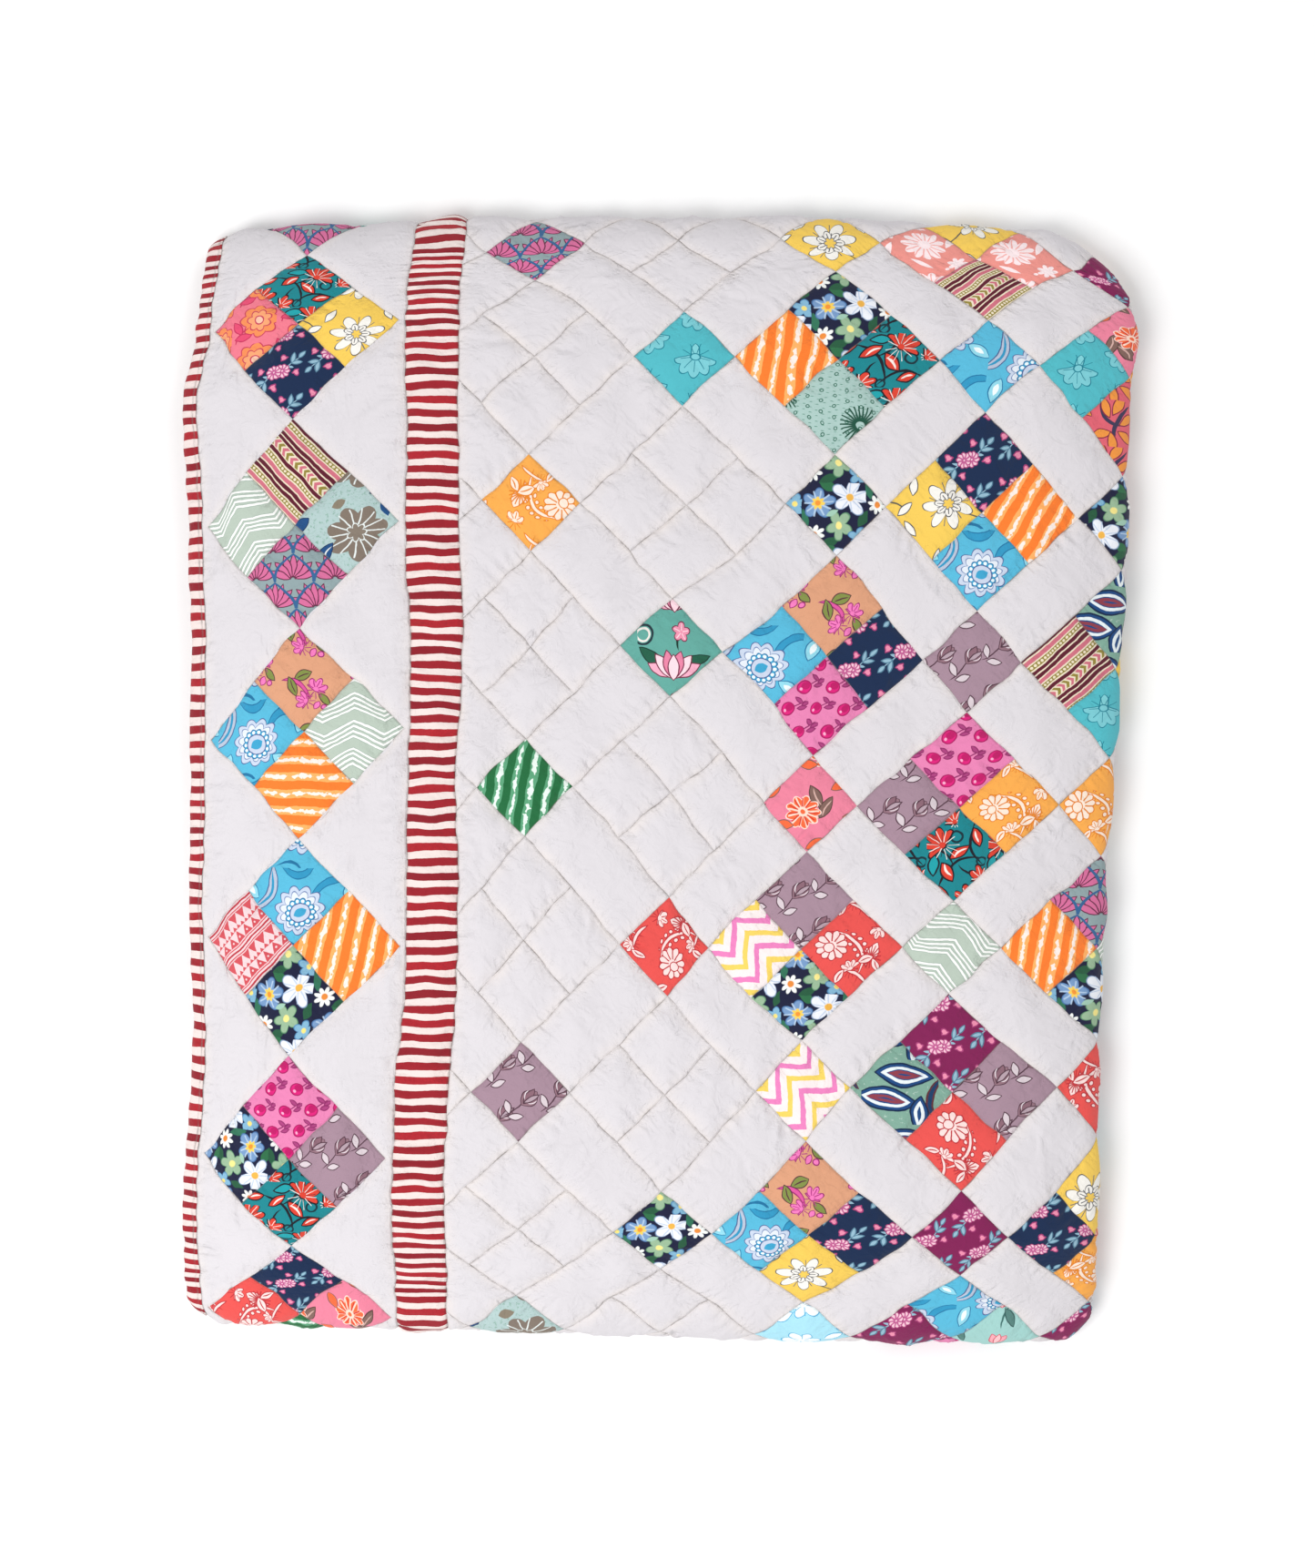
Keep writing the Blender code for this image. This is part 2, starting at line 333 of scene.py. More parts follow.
# How far the sewing draws the corners of the patches off their even layout, in mm. Columns and rows are
# counted in half diagonals of a square from the field's middle. The drawn lengths of these three tables were
# fitted by a separate program to where the corners and the sash's edges lie in the photo.
# column, row, drawn across, drawn along
fieldPulls = [
    (-3, 0, -8.3, -2.1), (-1, 0, -3.2, 6.5), (-3, -2, -8.7, 2.8), (-6, -1, -9.4, 1.4),
    (-5, 0, -12.1, -0.1), (-3, -4, -7.8, 8.5), (-4, -3, -12.0, 6.2), (-2, -3, -10.5, 10.3),
    (-6, -3, -15.7, 1.0), (-3, -6, -0.7, 9.1), (-5, -6, -10.9, 12.6), (-1, -6, 8.1, 15.2),
    (-2, -3, -4.6, 8.2), (-6, -7, -2.6, 5.2), (-3, -8, 6.7, 9.3), (-4, -9, 11.5, 0.6),
    (-2, -9, 6.3, 2.0), (-3, -10, 9.6, -2.4), (-6, -9, -0.2, 1.9), (-6, 11, 0.6, 26.4),
    (-6, 9, 1.1, 2.6), (-6, 7, 0.5, 8.6), (-4, 9, 4.9, 10.2), (-3, 10, -2.7, 14.8),
    (-3, 8, 5.0, 3.6), (-2, 9, 2.3, 6.3), (-9, 10, -9.5, 7.6), (-10, 9, -2.5, 4.4),
    (-8, 9, -4.2, 7.1), (-9, 8, 1.0, 4.8), (-10, 11, -8.7, 25.6), (-8, 11, -6.4, 25.1),
    (-12, 7, -5.1, 3.2), (-10, 7, -0.7, 5.4), (-8, 7, 7.6, 1.7), (-12, 1, -5.4, 8.9),
    (-13, 0, -5.2, 11.0), (-11, 0, -4.6, 14.9), (-12, -1, -3.0, 12.7), (-10, 3, -10.9, 8.6),
    (-6, 6, 7.8, 5.2), (-3, 6, 0.7, 3.5),
]
# edge of the border (1 by the sash, -1 by the binding, 0 its middle), block, drawn across, drawn along
borderPulls = [
    (1, 1, -3.9, 9.1), (0, 0.5, -7.8, 3.0), (0, 1, -10.5, 1.2), (1, 0, 6.0, 10.6),
    (-1, 0, 1.1, -7.9), (0, 0, -1.3, 3.8), (0, -1, -10.6, -4.8), (1, -1, 4.4, -4.1),
    (-1, -1, -6.2, 6.0), (0, -1.5, -16.5, -6.6), (0, -0.5, -4.0, 1.5), (0, -2, -8.0, -5.9),
    (1, -2, -5.4, -9.0), (0, 2, -14.4, 5.2), (0, 2.5, -11.3, 10.0), (1, 2, -11.7, 12.9),
    (0, 1.5, -6.9, 4.8),
]
# The same for the sash, by how far across the cloth its edge is.
# how far along the cloth, drawn across
sashPulls = {
    211: [(344, 6.5), (133, 4.8), (-62, 10.0), (592, -4.6), (470, -11.4), (-117, 3.6), (-359, -2.8)],
    260: [(344, -0.9), (134, 1.0), (-61, 6.8), (593, -5.1), (520, -8.9)],
}
pulling = {"reach": 0.065, "back": 0.12, "fromEdge": 0.05, "sashAlong": 5.0}


def pullPlaces():
    # all pulls in metres: the place on the flat cloth, and how far it is drawn across and along
    rows = []
    for column, row, across, along in fieldPulls:
        rows.append((cloth["fieldCentre"] + column * halfStep, row * halfStep, across / 1000, along / 1000))
    for edge, block, across, along in borderPulls:
        u = cloth["borderCentre"] + edge * cloth["borderHalfWide"]
        rows.append((u, cloth["borderShift"] + block * cloth["borderPitch"], across / 1000, along / 1000))
    for edge, places in sashPulls.items():
        for v, across in places:
            rows.append((edge / 1000, v / 1000, across / 1000, pulling["sashAlong"] / 1000))
    return rows


# Creases of the front. u, v, further u, further v, depth and half width, all in mm. The places of the first
# 22 were turned from the photo's pixels into mm on the cloth by a separate program.
creases = np.array([
    (257, 512, 275, 508, -1.9, 3), (260, 438, 331, 447, -2.1, 3.2), (261, 419, 275, 400, -1.9, 3),
    (273, 240, 296, 267, -2.1, 3), (264, 229, 276, 222, -1.6, 2.6), (406, 449, 432, 452, -1.6, 3),
    (424, 400, 446, 400, -1.8, 3), (377, 344, 421, 327, -1.8, 3.2), (418, 339, 428, 335, -1.4, 2.5),
    (382, 384, 413, 375, -1.4, 3), (506, 393, 530, 400, -1.6, 3), (506, 314, 526, 316, -1.6, 2.6),
    (519, 325, 539, 338, -1.6, 2.6), (502, 485, 546, 478, -1.6, 3), (261, 273, 277, 274, -1.8, 3),
    (21, 184, 34, 171, -1.6, 2.8), (19, 143, 43, 118, -1.9, 3), (19, 16, 48, 17, -1.8, 3),
    (18, 38, 33, 43, -1.6, 2.6), (187, -296, 212, -278, 1.6, 3), (237, 244, 263, 239, -2.1, 2.6),
    (209, -322, 254, -326, -2.1, 2.6), (346, 208, 286, 149, -1.9, 3), (274, 226, 322, 189, -2, 2.8),
    (263, 276, 287, 281, -1.9, 2.6), (262, 188, 282, 205, -1.8, 2.8), (262, 120, 300, 132, -1.8, 3),
    (380, 300, 420, 306, -1.7, 2.8), (560, 205, 610, 215, -1.6, 3), (262, -30, 290, -52, -1.9, 2.8),
    (262, -180, 306, -165, -1.8, 3), (380, -200, 420, -232, -1.7, 3), (330, -330, 372, -318, -1.8, 3),
])
creasing = {"bend": 0.12, "taper": 0.7}


def creaseHeight(u, v):
    # soft troughs and ridges, a little bent and deepest at their middle
    height = np.zeros(np.shape(u))
    for startU, startV, endU, endV, depth, half in creases / 1000:
        lengthways = np.array([endU - startU, endV - startV])
        length = np.hypot(*lengthways)
        near = (abs(u - (startU + endU) / 2) < length) & (abs(v - (startV + endV) / 2) < length)
        du, dv = u[near] - startU, v[near] - startV
        along = (du * lengthways[0] + dv * lengthways[1]) / length
        hump = np.sin(math.pi * np.clip(along / length, 0, 1))
        bend = creasing["bend"] * length * hump * np.sign(depth)
        across = (du * lengthways[1] - dv * lengthways[0]) / length + bend
        height[near] += depth * hump ** creasing["taper"] * np.exp(-((across / half) ** 2))
    return height


def frontHeight(kind, u, v, edgeU):
    # how far the front stands off the middle of the cloth
    patch = patchesOf[kind](edgeU, v)
    distances = np.maximum(seamDistances(patch), 0)
    seam = distances.min(0)
    # a patch is puffed up between its seams, and the cloth is thin by the binding
    swell = np.prod(1 - (1 - np.clip(distances / relief["puffReach"], 0, 1)) ** relief["puffPower"], 0)
    toBound = np.minimum(edgeU, cloth["length"] / 2 - abs(v)) - cloth["bindingWidth"]
    height = relief["flat"] * smooth(toBound / relief["flatReach"])
    height += relief["puff"] * swell * wander("puff", u, v)
    # puckers cross the seams and come and go along them
    along = np.where(distances.argmin(0) == 0, patch["q"], patch["p"])
    ripple = np.sin(2 * math.pi * along / relief["puckerPitch"] + wander("puckerBeat", u, v))
    ripple *= wander("puckerHeight", u, v) * np.clip(wander("puckerShare", u, v), 0, relief["puckerMost"])
    ripple *= np.exp(-seam / relief["puckerReach"]) * np.clip(seam / relief["puckerStart"], 0, 1)
    height += relief["pucker"] * ripple
    height += relief["wave"] * wander("wave", u, v) * np.clip(seam / relief["waveStart"], 0, 1)
    # soft narrow ridges that wander over the patches
    ridge = np.exp(-((wander("fold", u, v) / relief["foldHalf"]) ** 2))
    ridge *= np.clip(wander("foldShare", u, v), 0, 1)
    height += relief["fold"] * ridge * np.clip(seam / relief["foldStart"], 0, 1)
    height -= relief["furrow"] * np.exp(-seam / relief["furrowReach"])
    if kind == "sash":
        # the strip is gathered a little into its seams
        beat = 2 * math.pi * v / relief["gatherPitch"] + wander("gatherBeat", u, v)
        beat = np.sin(beat + relief["gatherLean"] * (u - cloth["borderEnd"]))
        beat *= relief["gatherEven"] + relief["gatherUneven"] * wander("gatherHeight", u, v) ** 2
        height += relief["gather"] * beat * np.clip(seam / relief["gatherStart"], relief["gatherLeast"], 1)
    inner = np.clip((u - runAcross) / folds["turnAcross"], 0, 1)
    squeezed = 1 + (folds["innerLoft"] / folds["frontLoft"] - 1) * inner
    return folds["seamHalf"] + (height * squeezed + creaseHeight(u, v)) * (1 - pressed(u, v))


def fromEdge(u):
    return np.minimum(u, cloth["width"] - u)


print("stage: cloth, folds and patches set out")


def gridLines(low, high, origin, step):
    first, last = math.ceil((low - origin) / step + 1e-6), math.floor((high - origin) / step - 1e-6)
    return np.array([low] + [origin + step * k for k in range(first, last + 1)] + [high])


def panelLines(kind, across, along, step):
    if kind == "border":
        centre = cloth["borderCentre"] if across[0] < 0.5 else cloth["width"] - cloth["borderCentre"]
        return (
            gridLines(*across, centre, cloth["borderHalfWide"] / 2 / step),
            gridLines(*along, cloth["borderShift"], borderHalfStep / step),
        )
    size = halfStep / step
    return gridLines(*across, cloth["fieldCentre"], size), gridLines(*along, 0, size)


def flatPanel(kind, across, along, step):
    # a grid of the panel's own lines, with each face that a seam crosses cut along the seam
    columns, rows = panelLines(kind, across, along, step)
    panel = bmesh.new()
    bmesh.ops.create_grid(panel, x_segments=len(columns) - 1, y_segments=len(rows) - 1, size=0.5)
    for vert in panel.verts:
        column = round((vert.co.x + 0.5) * (len(columns) - 1))
        row = round((vert.co.y + 0.5) * (len(rows) - 1))
        vert.co = (columns[column], rows[row], 0)
    if kind == "sash":
        return panel
    faces = list(panel.faces)
    places = np.array([[vert.co[:2] for vert in face.verts] for face in faces])
    places = np.concatenate([places, places.mean(1, keepdims=True)], 1)
    u = fromEdge(places[..., 0]) if kind == "border" else places[..., 0]
    distance = seamDistances(patchesOf[kind](u, places[..., 1]))[:2].min(0)
    for at in np.flatnonzero(distance[:, 4] < halfStep / step / 8):
        verts = list(faces[at].verts)
        start = 0 if distance[at, 0] + distance[at, 2] < distance[at, 1] + distance[at, 3] else 1
        bmesh.utils.face_split(faces[at], verts[start], verts[start + 2])
    return panel


def addPiece(name, mesh):
    mesh.shade_smooth()
    piece = bpy.data.objects.new(name, mesh)
    bpy.context.scene.collection.objects.link(piece)
    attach(piece, "root")
    print("piece:", name, len(mesh.polygons), "faces")
    return piece


def flatPlaces(mesh):
    flat = np.empty(len(mesh.vertices) * 3)
    mesh.vertices.foreach_get("co", flat)
    return flat.reshape(-1, 3)[:, 0], flat.reshape(-1, 3)[:, 1]


pulls = pullPlaces()


def wobbled(u, v):
    # where the cloth really lies on its folds: drawn by the sewing, and never quite straight
    drawn, weights = np.zeros((2, len(u))), np.full(len(u), pulling["back"])
    for pullU, pullV, across, along in pulls:
        weight = np.exp(-((u - pullU) ** 2 + (v - pullV) ** 2) / pulling["reach"] ** 2)
        drawn += weight * np.array([[across], [along]])
        weights += weight
    drawn /= weights
    drawn[0] *= np.clip(u / pulling["fromEdge"], 0, 1) ** 2
    strayU = relief["wobble"] * (wander("acrossFine", u, v) + wander("acrossWide", u, v))
    strayV = relief["wobble"] * (wander("alongFine", u, v) + wander("alongWide", u, v))
    return u + drawn[0] + strayU, v + drawn[1] + strayV


def makeFront(name, kind, across, along, step):
    panel = flatPanel(kind, across, along, step)
    mesh = bpy.data.meshes.new(name)
    panel.to_mesh(mesh)
    panel.free()
    u, v = flatPlaces(mesh)
    w = frontHeight(kind, u, v, fromEdge(u) if kind != "field" else u)
    mesh.vertices.foreach_set("co", placed(*wobbled(u, v), w).ravel())
    writeMaps(mesh, kind, u, v)
    return addPiece(name, mesh)


def writeMap(mesh, name, x, y):
    made = mesh.uv_layers.new(name=name, do_init=False)
    made.uv.foreach_set("vector", np.stack([x, y], 1).astype(np.float32).ravel())


def writeMaps(mesh, kind, u, v):
    # two maps in metres: "print", the place on the patch's own print, and
    # "seam", the places along and away from the nearest seam
    corner = np.empty(len(mesh.loops), int)
    mesh.loops.foreach_get("vertex_index", corner)
    total = np.empty(len(mesh.polygons), int)
    mesh.polygons.foreach_get("loop_total", total)
    face = np.repeat(np.arange(len(total)), total)
    middleU = np.bincount(face, u[corner]) / total
    middleV = np.bincount(face, v[corner]) / total
    edge = middleU if kind == "field" else fromEdge(middleU)
    middle = patchesOf[kind](edge, middleV)
    slot, turn, repeat = choosePrints(kind, middle, middleU)
    worn, index = np.unique(slot, return_inverse=True)
    for at in worn:
        mesh.materials.append(slots[at])
    mesh.polygons.foreach_set("material_index", index.ravel())
    # both maps run on evenly inside a patch, so they are carried from the face's middle to its corners
    du, dv = u[corner] - middleU[face], v[corner] - middleV[face]
    if kind != "field":
        du = du * np.where(middleU > cloth["width"] / 2, -1, 1)[face]
    plain = (abs(middle["a"]) == 3)[face] if kind == "border" else np.full(len(face), kind == "sash")
    squash = borderHalfStep * 2 / cloth["borderHalfWide"] if kind == "border" else 1
    p = middle["p"][face] + np.where(plain, dv, (du * squash + dv) / math.sqrt(2))
    q = middle["q"][face] + np.where(plain, du, (dv - du * squash) / math.sqrt(2))
    nearest = seamDistances(middle).argmin(0)[face]
    toEdge = patchesOf[kind](u[corner] if kind == "field" else fromEdge(u[corner]), v[corner])["edge"]
    away = np.choose(nearest, [middle["halfP"][face] - abs(p), middle["halfQ"][face] - abs(q), toEdge])
    if kind == "border":
        toBlock = seamDistances(patchesOf[kind](fromEdge(u[corner]), v[corner]))[0]
        away = np.where(plain & (nearest == 0), toBlock, away)
    writeMap(mesh, "seam", np.choose(nearest, [q, p, v[corner]]), away)
    right, up = (q, p) if kind == "sash" else ((p - q) / math.sqrt(2), (p + q) / math.sqrt(2))
    right, up = np.where(plain, q, right), np.where(plain, p, up)
    right, up = right - repeat[face, 0], up - repeat[face, 1]
    cosine, sine = np.cos(turn[face]), np.sin(turn[face])
    writeMap(mesh, "print", right * cosine + up * sine, up * cosine - right * sine)


# Cloth as materials


def hexColour(code):
    parts = [int(code[k : k + 2], 16) / 255 for k in (1, 3, 5)]
    return (*[part / 12.92 if part <= 0.04045 else ((part + 0.055) / 1.055) ** 2.4 for part in parts], 1)


def addNode(tree, kind, inputs=(), **settings):
    # adds a node with its settings, sets or links its inputs and gives its outputs
    node = tree.nodes.new("ShaderNode" + kind)
    for name, value in settings.items():
        setattr(node, name, value)
    for place, value in inputs.items() if isinstance(inputs, dict) else enumerate(inputs):
        if isinstance(value, bpy.types.NodeSocket):
            tree.links.new(value, node.inputs[place])
        else:
            node.inputs[place].default_value = value
    return node.outputs


# The prints. Lengths are millimetres on the cloth, turns are degrees.
# A repeat has its width and height, how far each next column drops, its turn and place, and its shapes.
# A shape: kind, x, y, half its length, half its width, turn, detail, fill, outline.
# detail is the bend of a stem, the count and depth of petals, or the count, start and width of rays.
# A print of bands has a turn, the period, the zigzag's half length and slope, and its rows of bands.
# A row: kind, centre, half width, pitch, detail, colour.

bloomShapes = [
    ("stem", 9, 7, 25, 1.3, -60, 11, "bloom", "line"),
    ("beads", 9, 7, 21, 1.6, -60, (11, 5.0, 6.6), "bloom", "line"),
    ("petals", -17, 8, 15, 14, 10, (11, 0.22), "bloom", "line"),
    ("rays", -17, 8, 14.5, 13.5, 26, (11, 0.30, 0.042), "line", None),
    ("disc", -20, 6, 4.2, 4.2, 0, None, "bloom", "line"),
    ("leaf", 22, 1, 9.5, 5.2, 68, None, "bloom", "line"),
    ("rays", 20, -4, 12, 10, 68, (18, 0.2, 0.05), "line", None),
    ("leaf", 15, -6, 8, 3.8, 20, None, "bloom", "line"),
    ("leaf", 25, -12, 7, 3.2, 110, None, "bloom", "line"),
    ("stem", 25, -12, 5, 0.6, 110, 1, "line", None),
    ("stem", 15, -6, 6, 0.6, 20, 1, "line", None),
    ("fan", 1, -15, 9, 9, 115, (9, 0.3), "bloom", "line"),
    ("rays", 1, -15, 8, 8, 115, (12, 0.3, 0.04), "line", None),
    ("stem", 9, -21, 11, 1.1, -35, 2, "bloom", "line"),
    ("leaf", -9, -21, 7, 2.8, 60, None, "bloom", "line"),
    ("stem", -9, -21, 5, 0.6, 60, 1, "line", None),
    ("fan", 26, 23, 10, 9, 250, (7, 0.4), "bloom", "line"),
    ("rays", 26, 23, 9, 8, 250, (9, 0.3, 0.05), "line", None),
]
sprigShapes = [
    ("stem", 0, 0, 11, 0.5, 45, 1, "#8fb4c6", None),
    ("leaf", 4, 0, 5.0, 1.5, 8, None, "#8fb4c6", "#4f7890"),
    ("leaf", 0, 5, 5.0, 1.5, 82, None, "#8fb4c6", "#4f7890"),
    ("leaf", -2, -5, 4.0, 1.2, -8, None, "#8fb4c6", None),
    ("leaf", 8, 8.5, 4.0, 1.6, 48, None, "#8fb4c6", "#4f7890"),
    ("petals", -9, -9, 6.8, 6.8, 0, (9, 0.2), "#ecbfce", "#a23c72"),
    ("rays", -9, -9, 6.2, 6.2, 12, (9, 0.15, 0.10), "#b8558a", None),
    ("fan", -8, 4, 4.6, 3.6, 120, (3, 0.4), "#e58aa8", "#a23c72"),
    ("fan", 4, -9, 4.6, 3.6, -55, (3, 0.4), "#e58aa8", "#a23c72"),
]
budShapes = [
    ("stem", -4, -6, 14, 0.6, 52, -4, "#4f3340", None),
    ("leaf", -11, -5, 6.4, 2.7, 118, None, "#d3c6cc", "#4f3340"),
    ("leaf", -2, -13, 6.4, 2.7, 12, None, "#d3c6cc", "#4f3340"),
    ("leaf", 6, 7, 9.4, 7.2, 52, None, "#8f6d79", "#4f3340"),
    ("leaf", 5, 9, 8, 3.1, 66, None, "#86626f", "#4f3340"),
    ("leaf", 8, 7, 7.4, 1.8, 38, None, "#b09aa5", "#4f3340"),
    ("stem", 1, 10, 5, 0.5, 80, 3, "#e2d6dc", None),
    ("stem", 10, 3, 4.6, 0.5, 28, -3, "#e2d6dc", None),
]
tealShapes = [
    ("stem", -9, 2, 27, 1.4, 128, -9, "#191a24", None),
    ("stem", 9, -12, 22, 1.2, 15, 8, "#191a24", None),
    ("stem", 4, 15, 19, 1.2, 60, -8, "#191a24", None),
    ("stem", -20, -14, 14, 1.1, 80, 6, "#191a24", None),
    ("ring", 20, 1, 5.4, 5.4, 0, 0.2, "#12303a", None),
    ("ring", -6, -24, 4.4, 4.4, 0, 0.22, "#12303a", None),
    ("leaf", -17, 8, 10, 4.0, 35, None, "#d6402f", "#191a24"),
    ("stem", -16, 9, 7, 0.9, 35, 2, "#f1e6e0", None),
    ("leaf", -9, 21, 10, 3.6, 5, None, "#1b9aa2", "#191a24"),
    ("leaf", 3, -2, 11, 4.6, -50, None, "#d6402f", "#191a24"),
    ("stem", 4, -2, 8, 1.0, -50, 2, "#f1e6e0", None),
    ("leaf", 18, -17, 9, 3.8, 20, None, "#d6402f", "#191a24"),
    ("stem", 18, -16, 6, 0.9, 20, 1, "#f1e6e0", None),
    ("fan", 10, 13, 19, 17, 55, (9, 0.45), "#d6402f", "#191a24"),
    ("rays", 10, 13, 17, 14, 55, (11, 0.25, 0.022), "#f1e6e0", None),
    ("rays", 10, 13, 14, 12, 45, (9, 0.3, 0.02), "#191a24", None),
    ("fan", -24, -25, 14, 12, 20, (7, 0.45), "#d6402f", "#191a24"),
    ("rays", -24, -25, 12, 10, 20, (9, 0.25, 0.03), "#f1e6e0", None),
]
daisyShapes = [
    ("leaf", -4, 26, 9, 4.4, 150, None, "#2c6a45", None),
    ("leaf", 27, -3, 9, 4.4, 60, None, "#24573c", None),
    ("leaf", -27, -5, 9, 4.2, 100, None, "#2f6f55", None),
    ("leaf", -4, -26, 9, 4.2, 20, None, "#24573c", None),
    ("petals", -14, 10, 15, 14, 12, (5, 0.55), "#7496c0", "#4a74a8"),
    ("rays", -14, 10, 13, 12, 3, (10, 0.3, 0.05), "#b4cbe2", None),
    ("petals", -14, 10, 6, 6, 40, (7, 0.4), "#f0cb58", None),
    ("disc", -14, 10, 2.4, 2.4, 0, None, "#e98f35", None),
    ("petals", 16, 16, 18, 17, 4, (5, 0.62), "#e6e9f0", "#7f98bb"),
    ("rays", 16, 16, 15, 14, 20, (10, 0.3, 0.03), "#b0c2dc", None),
    ("disc", 16, 16, 3.6, 3.6, 0, None, "#e8b04a", None),
    ("petals", 5, -11, 13, 12, 50, (5, 0.5), "#94b393", "#5f8f6c"),
    ("disc", 5, -11, 3.2, 3.2, 0, None, "#efe08a", None),
    ("petals", -19, -19, 10, 9, 30, (8, 0.5), "#ecefec", None),
    ("disc", -19, -19, 3.0, 3.0, 0, None, "#e58a3a", None),
    ("petals", 24, -21, 10, 9, 10, (5, 0.5), "#7fb0cc", "#4f86b4"),
    ("disc", 24, -21, 2.4, 2.4, 0, None, "#f1dc7a", None),
    ("leaf", -2, 0, 6, 2.6, 20, None, "#9dc4b0", None),
]
sageShapes = [
    ("stem", 26, -6, 25, 1.7, 78, 7, "#143a63", "#5a2b33"),
    ("leaf", 4, 15, 25, 10.5, -4, None, "#17457c", "#0c2547"),
    ("leaf", 4, 15, 19, 6.6, -4, None, None, "#e2ebee"),
    ("leaf", 4, 15, 12, 2.4, -4, None, None, "#8a3a48"),
    ("leaf", -13, -8, 27, 11, -6, None, "#17457c", "#0c2547"),
    ("leaf", -13, -8, 20, 7, -6, None, None, "#e2ebee"),
    ("leaf", -13, -8, 14, 2.4, -6, None, None, "#8a3a48"),
    ("leaf", 15, -21, 15, 7.4, 78, None, "#17457c", "#0c2547"),
    ("leaf", 15, -21, 10, 3.4, 78, None, None, "#e2ebee"),
]
fanShapes = [
    ("leaf", 14 * math.cos(math.radians(angle)), -12 + 14 * math.sin(math.radians(angle)),
     10.5, 2.9, angle, None, "#d16b98", "#5f2440")
    for angle in (22, 45, 68, 90, 112, 135, 158)
] + [("arch", 0, -13, 20, 26, 0, 0.085, "#34618f", None)]
taupeShapes = [
    ("petals", 4, 0, 30, 27, 15, (7, 0.3), "#7d7065", None),
    ("rays", 4, 0, 27, 24, 5, (14, 0.3, 0.024), "#dfe6e4", None),
    ("petals", 4, 0, 9, 8, 0, (7, 0.4), "#82766a", "#dfe6e4"),
    ("leaf", -26, -19, 12, 5.5, 60, None, "#1d4c80", "#0f2d55"),
    ("stem", -26, -19, 9, 0.8, 60, 2, "#e3e8e6", None),
    ("leaf", 30, 24, 9, 4.5, 110, None, "#1d4c80", None),
    ("leaf", 24, -26, 11, 5, 30, None, "#1d4c80", "#0f2d55"),
    ("leaf", -14, 29, 8, 4, 20, None, "#857a69", None),
]
skyShapes = [
    ("stem", -27, 14, 24, 4.0, 66, -2.5, "#b2bdd0", "#46598a"),
    ("stem", -27, 14, 20, 1.3, 66, -7, "#2f93bd", None),
    ("stem", 27, 24, 20, 3.0, 25, 3, "#2f93bd", "#1f6f9c"),
    ("leaf", 30, -22, 12, 5.6, -35, None, "#8fd3e4", "#1f6f9c"),
    ("leaf", 30, -22, 6, 2.6, -35, None, "#eaf4f6", None),
    ("leaf", -31, -22, 12, 5.4, 70, None, "#8fd3e4", "#1f6f9c"),
    ("leaf", -31, -22, 6, 2.6, 70, None, "#eaf4f6", None),
    ("stem", 0, 31, 18, 3.0, 5, -4, "#2f93bd", "#1f6f9c"),
    ("stem", -6, -33, 16, 1.4, -20, 7, "#1f6f9c", None),
    ("petals", 2, -2, 24, 23, 8, (11, 0.22), "#c3cfe2", "#4c5f94"),
    ("petals", 2, -2, 18.5, 18, 8, (11, 0.28), "#dde4ec", "#6f83ae"),
    ("petals", 3, -4, 13.5, 13.5, 0, (14, 0.14), "#3c9fc8", "#2f6d9e"),
    ("studs", 3, -4, 11.2, 11.2, 0, (14, 0.14), "#e8f3f7", None),
    ("disc", 3, -4, 8.6, 8.6, 0, None, "#c3cde0", "#4c5f94"),
    ("leaf", 3, -4, 6.2, 4.4, 25, None, "#3b9fc8", None),
]
lilyShapes = [
    ("stem", 22, -20, 14, 0.7, -40, 4, "#5e5c52", None),
    ("leaf", 29, -28, 8, 3.0, 20, None, "#eeebe4", "#4e4f55"),
    ("leaf", -29, 24, 9, 3.4, 60, None, "#eeebe4", "#4e4f55"),
    ("leaf", 29, 24, 8, 3.0, 110, None, "#eeebe4", "#4e4f55"),
    ("petals", -2, 0, 26, 23, 14, (7, 0.66), "#eeebe4", "#4e4f55"),
    ("rays", -2, 0, 22, 19, 40, (7, 0.2, 0.022), "#6a6b70", None),
    ("petals", -2, 0, 13, 12, 0, (7, 0.5), "#eeebe4", "#4e4f55"),
    ("rays", -2, 0, 11, 10, 0, (14, 0.25, 0.04), "#55565c", None),
    ("petals", -2, 0, 5, 5, 0, (6, 0.4), "#edc658", "#77787c"),
]
salmonShapes = [
    ("stem", -5, 7, 15, 1.5, -35, 4, "#d9559c", "#94256b"),
    ("leaf", -1, 15, 9, 4.6, 22, None, "#7e8b45", "#54283a"),
    ("leaf", -13, 4, 9, 4.2, 105, None, "#7e8b45", "#54283a"),
    ("stem", -1, 15, 7, 0.6, 22, 1, "#54283a", None),
    ("stem", -13, 4, 7, 0.6, 105, 1, "#54283a", None),
    ("leaf", 18, -9, 7.4, 3.2, 130, None, "#7e8b45", "#54283a"),
    ("fan", 11, 1, 11.5, 10, 62, (7, 0.45), "#ec78b8", "#94256b"),
    ("rays", 11, 1, 10, 8.6, 62, (9, 0.3, 0.05), "#a8307c", None),
    ("fan", 0, -10, 10.5, 9.5, 160, (7, 0.45), "#ec78b8", "#94256b"),
    ("rays", 0, -10, 9, 8, 160, (9, 0.3, 0.05), "#a8307c", None),
    ("leaf", 10, -15, 4.2, 2.4, 60, None, "#ec78b8", "#94256b"),
    ("disc", 17, -17, 2.2, 2.0, 0, None, "#ec78b8", "#94256b"),
]
